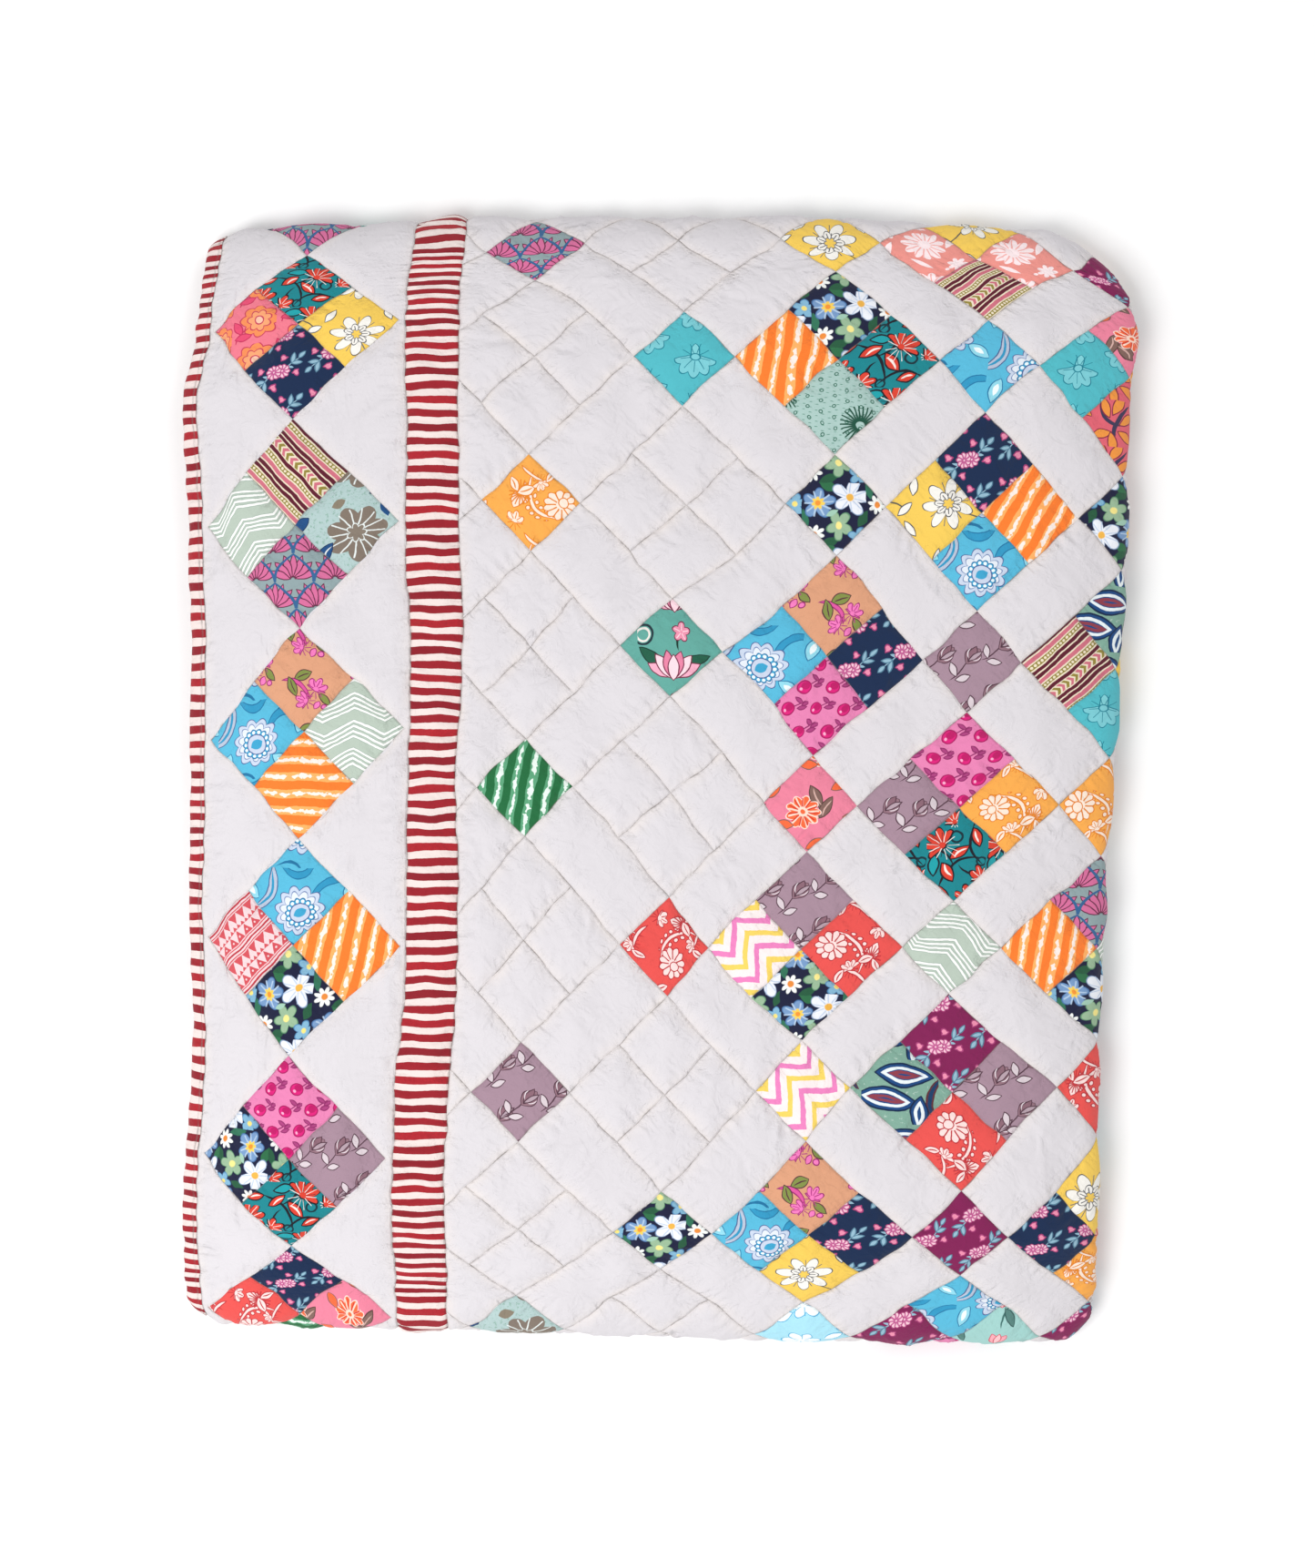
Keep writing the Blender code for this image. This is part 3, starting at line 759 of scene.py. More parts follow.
lotusShapes = [
    ("leaf", -20, -4, 13, 4.6, 145, None, "#1f5b45", "#12352b"),
    ("leaf", 19, -6, 13, 4.0, 20, None, "#1f5b45", "#12352b"),
    ("stem", 3, 16, 14, 1.2, 80, 3, "#12352b", None),
    ("leaf", -12, -16, 12, 4.6, 150, None, "#eda9c0", "#6d2140"),
    ("leaf", 12, -16, 12, 4.6, 30, None, "#eda9c0", "#6d2140"),
    ("leaf", -8, -13, 13, 4.6, 125, None, "#f6d3dc", "#6d2140"),
    ("leaf", 8, -13, 13, 4.6, 55, None, "#f6d3dc", "#6d2140"),
    ("leaf", -4, -11, 12, 4.4, 102, None, "#e07f9f", "#6d2140"),
    ("leaf", 4, -11, 12, 4.4, 78, None, "#e07f9f", "#6d2140"),
    ("leaf", 0, -14, 11, 4.4, 90, None, "#f6d3dc", "#6d2140"),
    ("petals", 6, 20, 9, 8, 90, (5, 0.4), "#e58fa9", "#6d2140"),
    ("rays", 6, 20, 8, 7, 90, (5, 0.2, 0.06), "#f6d3dc", None),
    ("ring", -28, 16, 9, 9, 0, 0.12, "#20303a", None),
    ("ring", -28, 16, 6, 6, 0, 0.16, "#e9e2dc", None),
]
branchShapes = [
    ("stem", 2, 0, 23, 1.9, 70, 4, "#3d3652", None),
    ("stem", -7, 5, 15, 1.6, 140, 3, "#3d3652", None),
] + [
    ("leaf", x, y, 10, 3.8, turn, None, "#e8913f", "#7d2440")
    for x, y, turn in (
        (14, 5, 30), (-12, -10, 200), (13, -11, 330), (-9, 15, 120), (4, 17, 60), (-1, -17, 280),
    )
]
waveBands = [("ragged", 0.0, 3.9, 0, 0.3, "deep"), ("blotch", 7.9, 1.3, 0, 3.0, "light")]
sprigs = [((52, 42), 0.5, 0, (0, 0), sprigShapes), ((52, 42), 0.5, 180, (26, 2), sprigShapes)]
prints = {
    "amber": {"ground": "#f0a64c", "inks": {"bloom": "#f3e0cf", "line": "#dc7d22"},
              "repeats": [((66, 64), 0.5, 0, (0, 0), bloomShapes)]},
    "coral": {"ground": "#df504c", "inks": {"bloom": "#f1d6d3", "line": "#b52f36"},
              "repeats": [((66, 64), 0.5, 0, (0, 0), bloomShapes)]},
    "navySprig": {"ground": "#13284a", "repeats": sprigs},
    "plumSprig": {"ground": "#7d1c51", "repeats": sprigs},
    "mauve": {"ground": "#a08493", "repeats": [
        ((54, 48), 0.5, 0, (0, 0), budShapes), ((54, 48), 0.5, 12, (27, 3), budShapes)]},
    "teal": {"ground": "#158089", "line": 1.6, "repeats": [((58, 56), 0.5, 0, (0, 0), tealShapes)]},
    "chevron": {"ground": "#b3c1b4", "bands": (-30, 27, 30, 0.47, [
        ("plain", offset, half, 0, 0, colour)
        for offset, half, colour in (
            (0.0, 1.7, "#93a79b"), (4.6, 1.7, "#93a79b"), (-4.6, 1.7, "#93a79b"), (9.2, 1.7, "#93a79b"),
            (0.0, 1.15, "#f0f1ee"), (4.6, 1.15, "#f0f1ee"), (-4.6, 1.15, "#f0f1ee"),
            (9.2, 1.15, "#f0f1ee"))])},
    "wave": {"ground": "#f9ac62", "inks": {"deep": "#f47a2c", "light": "#f4e6de"},
             "bands": (82, 15.8, 0, 0, waveBands)},
    "green": {"ground": "#5a9f77", "inks": {"deep": "#1f683b", "light": "#e3efe8"},
              "bands": (80, 15.8, 0, 0, waveBands)},
    "daisy": {"ground": "#181c3a", "soft": 0.9, "repeats": [((60, 58), 0.5, 0, (0, 0), daisyShapes)]},
    "sage": {"ground": "#7ba393", "line": 1.7, "speckle": ("#b4cabf", 0.22, 0.42),
             "repeats": [((70, 62), 0.5, 0, (0, 0), sageShapes)]},
    "ikat": {"ground": "#f1e5e4", "bands": (45, 34, 23, 1, [
        ("ragged", 0, 3.6, 0, 0.5, "#e680ba"), ("ragged", 17, 3.6, 0, 0.5, "#efcf62")])},
    "pinkLeaf": {"ground": "#e47f98", "repeats": [((60, 62), 0.5, 0, (0, 0), [
        ("leaf", 4, 20, 12, 5, 140, None, "#7d5f57", "#513a35"),
        ("leaf", 17, 14, 12, 5, 80, None, "#7d5f57", "#513a35"),
        ("stem", 4, 20, 9, 0.8, 140, 2, "#cfa9a0", None), ("stem", 17, 14, 9, 0.8, 80, 2, "#cfa9a0", None),
        ("petals", -2, 2, 17, 15, 20, (9, 0.3), "#f0683c", "#f3d8cd"),
        ("rays", -2, 2, 16, 14, 0, (13, 0.15, 0.05), "#f7d6c5", None),
        ("rays", -2, 2, 15, 13, 15, (11, 0.35, 0.045), "#cf3a2a", None),
        ("leaf", -15, -16, 9, 4, 20, None, "#f0683c", "#7d5f57"),
        ("leaf", 22, -22, 10, 4.4, 50, None, "#f0683c", "#7d5f57")])]},
    "fan": {"ground": "#8c9fa2", "repeats": [
        ((40, 54), 0.0, 0, (0, 0), fanShapes), ((40, 54), 0.0, 0, (20, 27), fanShapes)]},
    "taupe": {"ground": "#adc4c3", "speckle": ("#7fa796", 0.34, 0.46),
              "repeats": [((76, 70), 0.5, 0, (0, 0), taupeShapes)]},
    "braid": {"ground": "#e6d9c0", "bands": (45, 56, 0, 0, [
        ("plain", 0.0, 1.9, 0, 0, "#5c192b"),
        ("plain", 5.6, 2.2, 0, 0, "#8f8139"), ("chain", 5.6, 1.3, 3.7, 0, "#e6d9c0"),
        ("plain", 11.2, 2.0, 0, 0, "#c96c7d"),
        ("plain", 16.4, 1.9, 0, 0, "#5c192b"), ("plain", 21.3, 1.7, 0, 0, "#5c192b"),
        ("plain", 26.6, 2.2, 0, 0, "#8f8139"), ("chain", 26.6, 1.3, 3.7, 0, "#e6d9c0"),
        ("plain", 32.0, 2.0, 0, 0, "#c96c7d"),
        ("plain", 37.2, 1.9, 0, 0, "#5c192b"), ("plain", 42.0, 1.7, 0, 0, "#5c192b"),
        ("arrow", 49.0, 4.3, 11.4, 0.0, "#c96c7d"), ("arrow", 49.0, 4.3, 11.4, 5.7, "#8f8139")])},
    "rose": {"ground": "#e6cdd0", "bands": (45, 33, 0, 0, [
        ("plain", 0.0, 0.9, 0, 0, "#b82f3d"), ("plain", 3.2, 0.6, 0, 0, "#cf555f"),
        ("teeth", 9.5, 4.8, 11.5, 0.0, "#cd4f58"), ("teeth", -9.5, -4.8, 11.5, 5.7, "#cd4f58"),
        ("chain", 8.2, 1.0, 11.5, 0, "#e6cdd0"), ("teeth", 16.5, 2.0, 5.7, 0, "#cd4f58"),
        ("plain", -3.2, 0.6, 0, 0, "#cf555f")])},
    "fruit": {"ground": "#e07fae", "repeats": [((21, 28), 0.5, 18, (0, 0), [
        ("stem", 3, -5, 8, 0.6, -62, 0, "#8c2a63", None),
        ("leaf", -0.5, -8, 3.8, 1.3, 100, None, "#a8407b", "#8c2a63"),
        ("leaf", 6.5, -5, 3.8, 1.3, 50, None, "#a8407b", "#8c2a63"),
        ("leaf", 3.5, -11, 3.2, 1.1, 110, None, "#a8407b", "#8c2a63"),
        ("disc", -2, 5, 5.2, 5.6, 0, None, "#d81f78", "#a3105a"),
        ("disc", -0.8, 3.8, 3.5, 3.8, 0, None, "#b91563", None),
        ("disc", -3.8, 7.6, 1.5, 1.2, 30, None, "#f3a9ca", None)])]},
    "sky": {"ground": "#55b4d4", "repeats": [((80, 76), 0.5, 0, (0, 0), skyShapes)]},
    "turquoise": {"ground": "#4fb4bf", "repeats": [((44, 48), 0.5, 0, (0, 0), [
        ("stem", 0, 10, 9, 3.2, 90, 0, "#7ccbd2", "#15798c"),
        ("fan", 0, 5, 20, 19, 270, (9, 0.24), "#78c6cf", "#15798c"),
        ("rays", 0, 5, 15, 14, 270, (9, 0.3, 0.025), "#15798c", None),
        ("disc", 0, 5, 3.6, 3, 0, None, "#78c6cf", "#15798c")])]},
    "dots": {"ground": "#a6c3bd", "repeats": [
        ((12, 10.5), 0.5, 0, (0, 0), [("ring", 0, 0, 1.5, 1.5, 0, 0.3, "#2f6654", None)]),
        ((6.1, 5.2), 0.5, 8, (3, 1), [("leaf", 0, 0, 1.7, 0.35, 0, None, "#558877", None)]),
        ((70, 66), 0.5, 0, (0, 0), [("rays", 24, -18, 19, 19, 0, (26, 0.2, 0.035), "#1c4f3e", None)])]},
    "splash": {"ground": "#e79188", "repeats": [((66, 60), 0.5, 0, (0, 0), [
        ("petals", -10, 6, 22, 18, 20, (11, 0.35), "#f7e4e6", None),
        ("rays", -10, 6, 21, 17, 10, (14, 0.3, 0.03), "#efa9a4", None),
        ("petals", 20, -16, 13, 10, 60, (7, 0.5), "#f7e4e6", None),
        ("leaf", 18, 18, 13, 3.6, 60, None, "#f7e4e6", None),
        ("leaf", -16, -22, 12, 3.2, 150, None, "#f7e4e6", None),
        ("disc", 8, -26, 2.4, 1.8, 30, None, "#f7e4e6", None)])]},
    "branch": {"ground": "#d9606f", "repeats": [((44, 42), 0.5, 0, (0, 0), branchShapes)]},
    "lily": {"ground": "#edc658", "repeats": [((74, 70), 0.5, 0, (0, 0), lilyShapes)]},
    "salmon": {"ground": "#d59a78", "repeats": [((54, 52), 0.5, 0, (0, 0), salmonShapes)]},
    "lotus": {"ground": "#5fa398", "repeats": [((66, 64), 0.5, 0, (0, 0), lotusShapes)]},
    "cells": {"ground": "#e8778a", "line": 1.4, "repeats": [((48, 46), 0.5, 0, (0, 0), [
        ("petals", 6, 4, 21, 19, 0, (8, 0.22), "#ee8b55", "#bf3a58"),
        ("petals", 6, 4, 13, 12, 20, (7, 0.3), "#f0a070", "#bf3a58"),
        ("disc", 6, 4, 4, 4, 0, None, "#f3c0a8", "#bf3a58"),
        ("stem", -15, -12, 13, 0.9, 60, 4, "#bf2f58", None),
        ("leaf", -18, -4, 8, 3.6, 120, None, "#e04a70", "#bf2f58"),
        ("leaf", -11, -15, 8, 3.6, 20, None, "#e04a70", "#bf2f58")])]},
    "pale": {"ground": "#a6dcec", "repeats": [((50, 46), 0.5, 0, (0, 0), [
        ("petals", 2, 0, 18, 14, 10, (6, 0.45), "#eef7f9", "#4fa9d4"),
        ("rays", 2, 0, 15, 11, 40, (6, 0.25, 0.03), "#4fa9d4", None),
        ("leaf", -18, -15, 9, 4, 30, None, "#eef7f9", "#4fa9d4")])]},
    "tulip": {"ground": "#9dcbc6", "repeats": [((46, 46), 0.5, 0, (0, 0), [
        ("stem", 2, -8, 13, 0.9, 70, 4, "#3d6d68", None),
        ("leaf", 8, -10, 10, 3.2, 120, None, "#54807a", "#2f5552"),
        ("leaf", -4, 9, 8, 3.6, 110, None, "#f2a7b2", "#cf4a60"),
        ("leaf", 4, 9, 8, 3.6, 60, None, "#f2a7b2", "#cf4a60"),
        ("leaf", 0, 9, 8, 3.0, 86, None, "#f6c2c6", "#cf4a60")])]},
}


# Where a fan's side runs, in the fan's own units, and how much a row of beads bends with its stem
fanSide = {"along": 1.2, "across": -0.3, "start": 0.14}
beadBend = 0.9


def shapeDepth(tree, place, shape, longer, wide, detail):
    # 1 in the middle of the shape, 0 at its border and below 0 outside; place is in the shape's own units
    reach = addNode(tree, "VectorMath", [place], operation="LENGTH")["Value"]
    if shape == "disc":
        return addNode(tree, "Math", [1.0, reach], operation="SUBTRACT")[0]
    if shape == "ring":
        off = addNode(tree, "Math", [reach, 1.0], operation="SUBTRACT")[0]
        off = addNode(tree, "Math", [off], operation="ABSOLUTE")[0]
        return addNode(tree, "Math", [detail, off], operation="SUBTRACT")[0]
    x, y = list(addNode(tree, "SeparateXYZ", [place]))[:2]
    if shape == "arch":
        # a pointed arch: two upright sides that lean together at the top
        side = addNode(tree, "Math", [x], operation="ABSOLUTE")[0]
        climb = addNode(tree, "Math", [y, y], operation="MULTIPLY")[0]
        side = addNode(tree, "Math", [side, climb], operation="ADD")[0]
        off = addNode(tree, "Math", [side, 1.0], operation="SUBTRACT")[0]
        off = addNode(tree, "Math", [off], operation="ABSOLUTE")[0]
        off = addNode(tree, "Math", [detail, off], operation="SUBTRACT")[0]
        return addNode(tree, "Math", [off, y], operation="MINIMUM")[0]
    if shape == "leaf":
        side = addNode(tree, "Math", [y], operation="ABSOLUTE")[0]
        side = addNode(tree, "Math", [x, x, side], operation="MULTIPLY_ADD")[0]
        return addNode(tree, "Math", [1.0, side], operation="SUBTRACT")[0]
    if shape == "stem":
        square = addNode(tree, "Math", [x, x], operation="MULTIPLY")[0]
        side = addNode(tree, "Math", [square, float(detail), y], operation="MULTIPLY_ADD")[0]
        side = addNode(tree, "Math", [side], operation="ABSOLUTE")[0]
        side = addNode(tree, "Math", [square, square, side], operation="MULTIPLY_ADD")[0]
        return addNode(tree, "Math", [1.0, side], operation="SUBTRACT")[0]
    if shape == "beads":
        bend, off, pitch = detail
        square = addNode(tree, "Math", [x, x], operation="MULTIPLY")[0]
        side = addNode(tree, "Math", [square, bend * beadBend / wide, y], operation="MULTIPLY_ADD")[0]
        side = addNode(tree, "Math", [side], operation="ABSOLUTE")[0]
        side = addNode(tree, "Math", [side, off / wide], operation="SUBTRACT")[0]
        beat = addNode(tree, "Math", [x, pitch / longer / 2, -pitch / longer / 2], operation="WRAP")[0]
        beat = addNode(tree, "Math", [beat, longer / wide], operation="MULTIPLY")[0]
        spot = addNode(tree, "CombineXYZ", [beat, side])[0]
        spot = addNode(tree, "VectorMath", [spot], operation="LENGTH")["Value"]
        spot = addNode(tree, "Math", [square, square, spot], operation="MULTIPLY_ADD")[0]
        return addNode(tree, "Math", [1.0, spot], operation="SUBTRACT")[0]
    count = detail[0]
    angle = addNode(tree, "Math", [y, x], operation="ARCTAN2")[0]
    angle = addNode(tree, "Math", [angle, count / 2], operation="MULTIPLY")[0]
    if shape == "studs":
        beat = addNode(tree, "Math", [angle, math.pi / 2, -math.pi / 2], operation="WRAP")[0]
        beat = addNode(tree, "Math", [beat, 2 / count / detail[1]], operation="MULTIPLY")[0]
        off = addNode(tree, "Math", [reach, 1 / detail[1], -1 / detail[1]], operation="MULTIPLY_ADD")[0]
        spot = addNode(tree, "CombineXYZ", [beat, off])[0]
        spot = addNode(tree, "VectorMath", [spot], operation="LENGTH")["Value"]
        return addNode(tree, "Math", [1.0, spot], operation="SUBTRACT")[0]
    lobe = addNode(tree, "Math", [angle], operation="SINE" if shape == "rays" else "COSINE")[0]
    lobe = addNode(tree, "Math", [lobe], operation="ABSOLUTE")[0]
    if shape == "rays":
        count, start, half = detail
        across = addNode(tree, "Math", [lobe, reach], operation="MULTIPLY")[0]
        depth = addNode(tree, "Math", [across, -2 / count, half], operation="MULTIPLY_ADD")[0]
        inner = addNode(tree, "Math", [reach, start], operation="SUBTRACT")[0]
        outer = addNode(tree, "Math", [1.0, reach], operation="SUBTRACT")[0]
        depth = addNode(tree, "Math", [depth, inner], operation="MINIMUM")[0]
        return addNode(tree, "Math", [depth, outer], operation="MINIMUM")[0]
    edge = addNode(tree, "Math", [lobe, detail[1], 1 - detail[1]], operation="MULTIPLY_ADD")[0]
    depth = addNode(tree, "Math", [edge, reach], operation="SUBTRACT")[0]
    if shape == "fan":
        # only the half that opens along x
        side = addNode(tree, "Math", [y], operation="ABSOLUTE")[0]
        side = addNode(tree, "Math", [side, fanSide["across"], fanSide["start"]], operation="MULTIPLY_ADD")[0]
        side = addNode(tree, "Math", [x, fanSide["along"], side], operation="MULTIPLY_ADD")[0]
        depth = addNode(tree, "Math", [depth, side], operation="MINIMUM")[0]
    return depth


roughEdges = {"ragged": 0.22, "blotch": 0.13}  # kinds of bands with an uneven edge, and its scale
arrowLean, arrowHalf = 0.8, 1.8


def bandDepth(tree, place, s, t, period, band):
    # the same for a band across t, in millimetres
    kind, centre, half, pitch, detail, _ = band
    off = addNode(tree, "Math", [t, float(centre)], operation="SUBTRACT")[0]
    off = addNode(tree, "Math", [off, period / 2, -period / 2], operation="WRAP")[0]
    side = addNode(tree, "Math", [off], operation="ABSOLUTE")[0]
    depth = addNode(tree, "Math", [abs(half), side], operation="SUBTRACT")[0]
    if kind in roughEdges:
        noise = {"Vector": place, "Scale": roughEdges[kind], "Detail": 2.5}
        noise = addNode(tree, "TexNoise", noise)[0]
        uneven = addNode(tree, "Math", [noise, detail * 4, -detail * 2], operation="MULTIPLY_ADD")[0]
        return addNode(tree, "Math", [uneven, depth], operation="ADD")[0]
    if kind == "plain":
        return depth
    beat = addNode(tree, "Math", [s, float(detail)], operation="ADD")[0]
    if kind == "arrow":
        beat = addNode(tree, "Math", [side, arrowLean, beat], operation="MULTIPLY_ADD")[0]
    beat = addNode(tree, "Math", [beat, pitch / 2, -pitch / 2], operation="WRAP")[0]
    if kind == "chain":
        spot = addNode(tree, "CombineXYZ", [beat, off])[0]
        spot = addNode(tree, "VectorMath", [spot], operation="LENGTH")["Value"]
        return addNode(tree, "Math", [half, spot], operation="SUBTRACT")[0]
    beat = addNode(tree, "Math", [beat], operation="ABSOLUTE")[0]
    if kind == "arrow":
        beat = addNode(tree, "Math", [arrowHalf, beat], operation="SUBTRACT")[0]
        return addNode(tree, "Math", [beat, depth], operation="MINIMUM")[0]
    tooth = addNode(tree, "Math", [beat, -4 * abs(half) / pitch, abs(half)], operation="MULTIPLY_ADD")[0]
    lift = addNode(tree, "Math", [off, 1.0 if half > 0 else -1.0], operation="MULTIPLY")[0]
    tooth = addNode(tree, "Math", [tooth, lift], operation="SUBTRACT")[0]
    return addNode(tree, "Math", [tooth, depth], operation="MINIMUM")[0]


def paint(tree, under, depth, size, fill, outline, soft, line):
    # lays a shape's outline and then its fill over the colour beneath; size turns its depth to millimetres
    coats = [(depth, size, line / soft + 0.5, outline), (depth, size, 0.5, fill)]
    if outline and not fill:
        off = addNode(tree, "Math", [depth], operation="ABSOLUTE")[0]
        coats = [(off, -size, line / soft, outline)]
    for inside, scale, start, ink in coats:
        if ink:
            cover = [inside, scale / soft, start]
            cover = addNode(tree, "Math", cover, operation="MULTIPLY_ADD", use_clamp=True)[0]
            under = addNode(tree, "Mix", {0: cover, 6: under, 7: hexColour(ink)}, data_type="RGBA")[2]
    return under


strayScale = 0.13  # how quickly the stray of a print changes, per mm


def clothMaterial(name, ground, stray):
    # a new material, its ground colour, and the place on the print in mm, astray as a hand-cut block prints
    made = bpy.data.materials.new(name)
    made.use_nodes = True
    tree = made.node_tree
    place = addNode(tree, "UVMap", uv_map="print")[0]
    place = addNode(tree, "VectorMath", [place, (1000, 1000, 1000)], operation="MULTIPLY")[0]
    noise = addNode(tree, "TexNoise", {"Vector": place, "Scale": strayScale, "Detail": 2.0})["Color"]
    place = addNode(tree, "VectorMath", [noise, (stray, stray, 0), place], operation="MULTIPLY_ADD")[0]
    colour = addNode(tree, "RGB")[0]
    colour.default_value = hexColour(ground)
    return made, colour, place


# What weaving, sewing and washing give every cotton, and the painted shade in its seams. Scales are per mm,
# and distances from a seam in m.
finish = {
    "cloudScale": 0.03,
    "shade": (0.18, 0.83),  # how much the clouds change the colour, and its darkest share
    "tint": "#efe3d8",
    "tintReach": 0.016,
    # painted shade in the seam furrows: its dark colour, and how far from the seam it reaches
    "paintedSeamShade": "#7a716d",
    "paintedSeamShadeHalf": 0.0009,
    "breakScale": 0.045,
    "breaks": (4.6, -1.8),
    "puckerPlace": (115.0, 26.0, 3.0),  # along the seam, away from it, and by the clouds
    "puckerHeight": (9.0, -4.5),
    "puckerReach": 0.034,
    "creaseScale": 0.055,
    "creaseDepth": 3.0,
    "furrowHalf": 0.0018,
    "furrowDepth": 1.2,
    "fibreScale": 0.8,
    "fibreHeight": 0.14,
    "bump": 0.9,
    "bumpHeight": 0.0008,
    "Roughness": 0.92,
    "Specular IOR Level": 0.2,
    "Sheen Weight": 0.1,
    "Sheen Roughness": 0.6,
}


def finishCloth(made, colour, place, plain):
    # matt cotton, finely woven and creased, whose seams are sunk furrows between puckered cloth, with painted
    # shade darkening the seam lines
    tree = made.node_tree
    shader = tree.nodes["Principled BSDF"]
    seam = addNode(tree, "UVMap", uv_map="seam")[0]
    along, away = list(addNode(tree, "SeparateXYZ", [seam]))[:2]
    near = {}
    for part in ("tintReach", "paintedSeamShadeHalf", "puckerReach", "furrowHalf"):
        fall = [away, -1 / finish[part], 1.0]
        near[part] = addNode(tree, "Math", fall, operation="MULTIPLY_ADD", use_clamp=True)[0]
    cloudy = {"Vector": place, "Scale": finish["cloudScale"], "Detail": 3.0, "Roughness": 0.6}
    cloudy = addNode(tree, "TexNoise", cloudy)[0]
    fibre = addNode(tree, "TexNoise", {"Vector": place, "Scale": finish["fibreScale"], "Detail": 2.0})[0]
    if plain:
        # a faint cream tint in the creased cloth beside the seams
        warm = addNode(tree, "Math", [near["tintReach"], cloudy], operation="MULTIPLY", use_clamp=True)[0]
        warm = addNode(tree, "Math", [warm, warm], operation="MULTIPLY", use_clamp=True)[0]
        colour = addNode(tree, "Mix", {0: warm, 6: colour, 7: hexColour(finish["tint"])}, data_type="RGBA")[2]
    patchy = addNode(tree, "Math", [cloudy, *finish["shade"]], operation="MULTIPLY_ADD")[0]
    colour = addNode(tree, "VectorMath", [colour, patchy], operation="SCALE")[0]
    # painted shade along the seam line, stronger here and fainter there
    broken = {"Vector": place, "Scale": finish["breakScale"], "Detail": 4.0, "Roughness": 0.75}
    broken = addNode(tree, "TexNoise", broken)[0]
    broken = addNode(tree, "Math", [broken, *finish["breaks"]], operation="MULTIPLY_ADD", use_clamp=True)[0]
    dark = addNode(tree, "Math", [near["paintedSeamShadeHalf"], broken], operation="MULTIPLY")[0]
    colour = addNode(tree, "Mix", {0: dark, 6: colour, 7: hexColour(finish["paintedSeamShade"])}, data_type="RGBA")[2]
    # uneven puckers that cross the seam line and die away from it
    spot = addNode(tree, "CombineXYZ", [along, away, cloudy])[0]
    spot = addNode(tree, "VectorMath", [spot, finish["puckerPlace"]], operation="MULTIPLY")[0]
    pucker = addNode(tree, "TexNoise", {"Vector": spot, "Scale": 1.0, "Detail": 1.0})[0]
    pucker = addNode(tree, "Math", [pucker, *finish["puckerHeight"]], operation="MULTIPLY_ADD")[0]
    pucker = addNode(tree, "Math", [pucker, near["puckerReach"]], operation="MULTIPLY")[0]
    pucker = addNode(tree, "Math", [pucker, broken], operation="MULTIPLY")[0]
    # fine creases all over, and the furrow along the seam
    crease = {"Vector": place, "Scale": finish["creaseScale"], "Detail": 2.0, "Roughness": 0.5}
    crease = addNode(tree, "TexNoise", {**crease, "Distortion": 0.8})[0]
    crease = addNode(tree, "Math", [crease, 0.5], operation="SUBTRACT")[0]
    crease = addNode(tree, "Math", [crease], operation="ABSOLUTE")[0]
    height = addNode(tree, "Math", [fibre, finish["fibreHeight"], pucker], operation="MULTIPLY_ADD")[0]
    height = addNode(tree, "Math", [crease, -finish["creaseDepth"], height], operation="MULTIPLY_ADD")[0]
    sunk = near["furrowHalf"]
    height = addNode(tree, "Math", [sunk, -finish["furrowDepth"], height], operation="MULTIPLY_ADD")[0]
    bump = {"Strength": finish["bump"], "Distance": finish["bumpHeight"], "Height": height}
    tree.links.new(colour, shader.inputs["Base Color"])
    tree.links.new(addNode(tree, "Bump", bump)[0], shader.inputs["Normal"])
    for name in ("Roughness", "Specular IOR Level", "Sheen Weight", "Sheen Roughness"):
        shader.inputs[name].default_value = finish[name]
    return made


# How a block prints: how far it strays, how soft its edges are and how wide its outlines, all in mm.
printing = {"stray": 1.6, "soft": 0.35, "line": 1.05, "speckleContrast": 9.0}


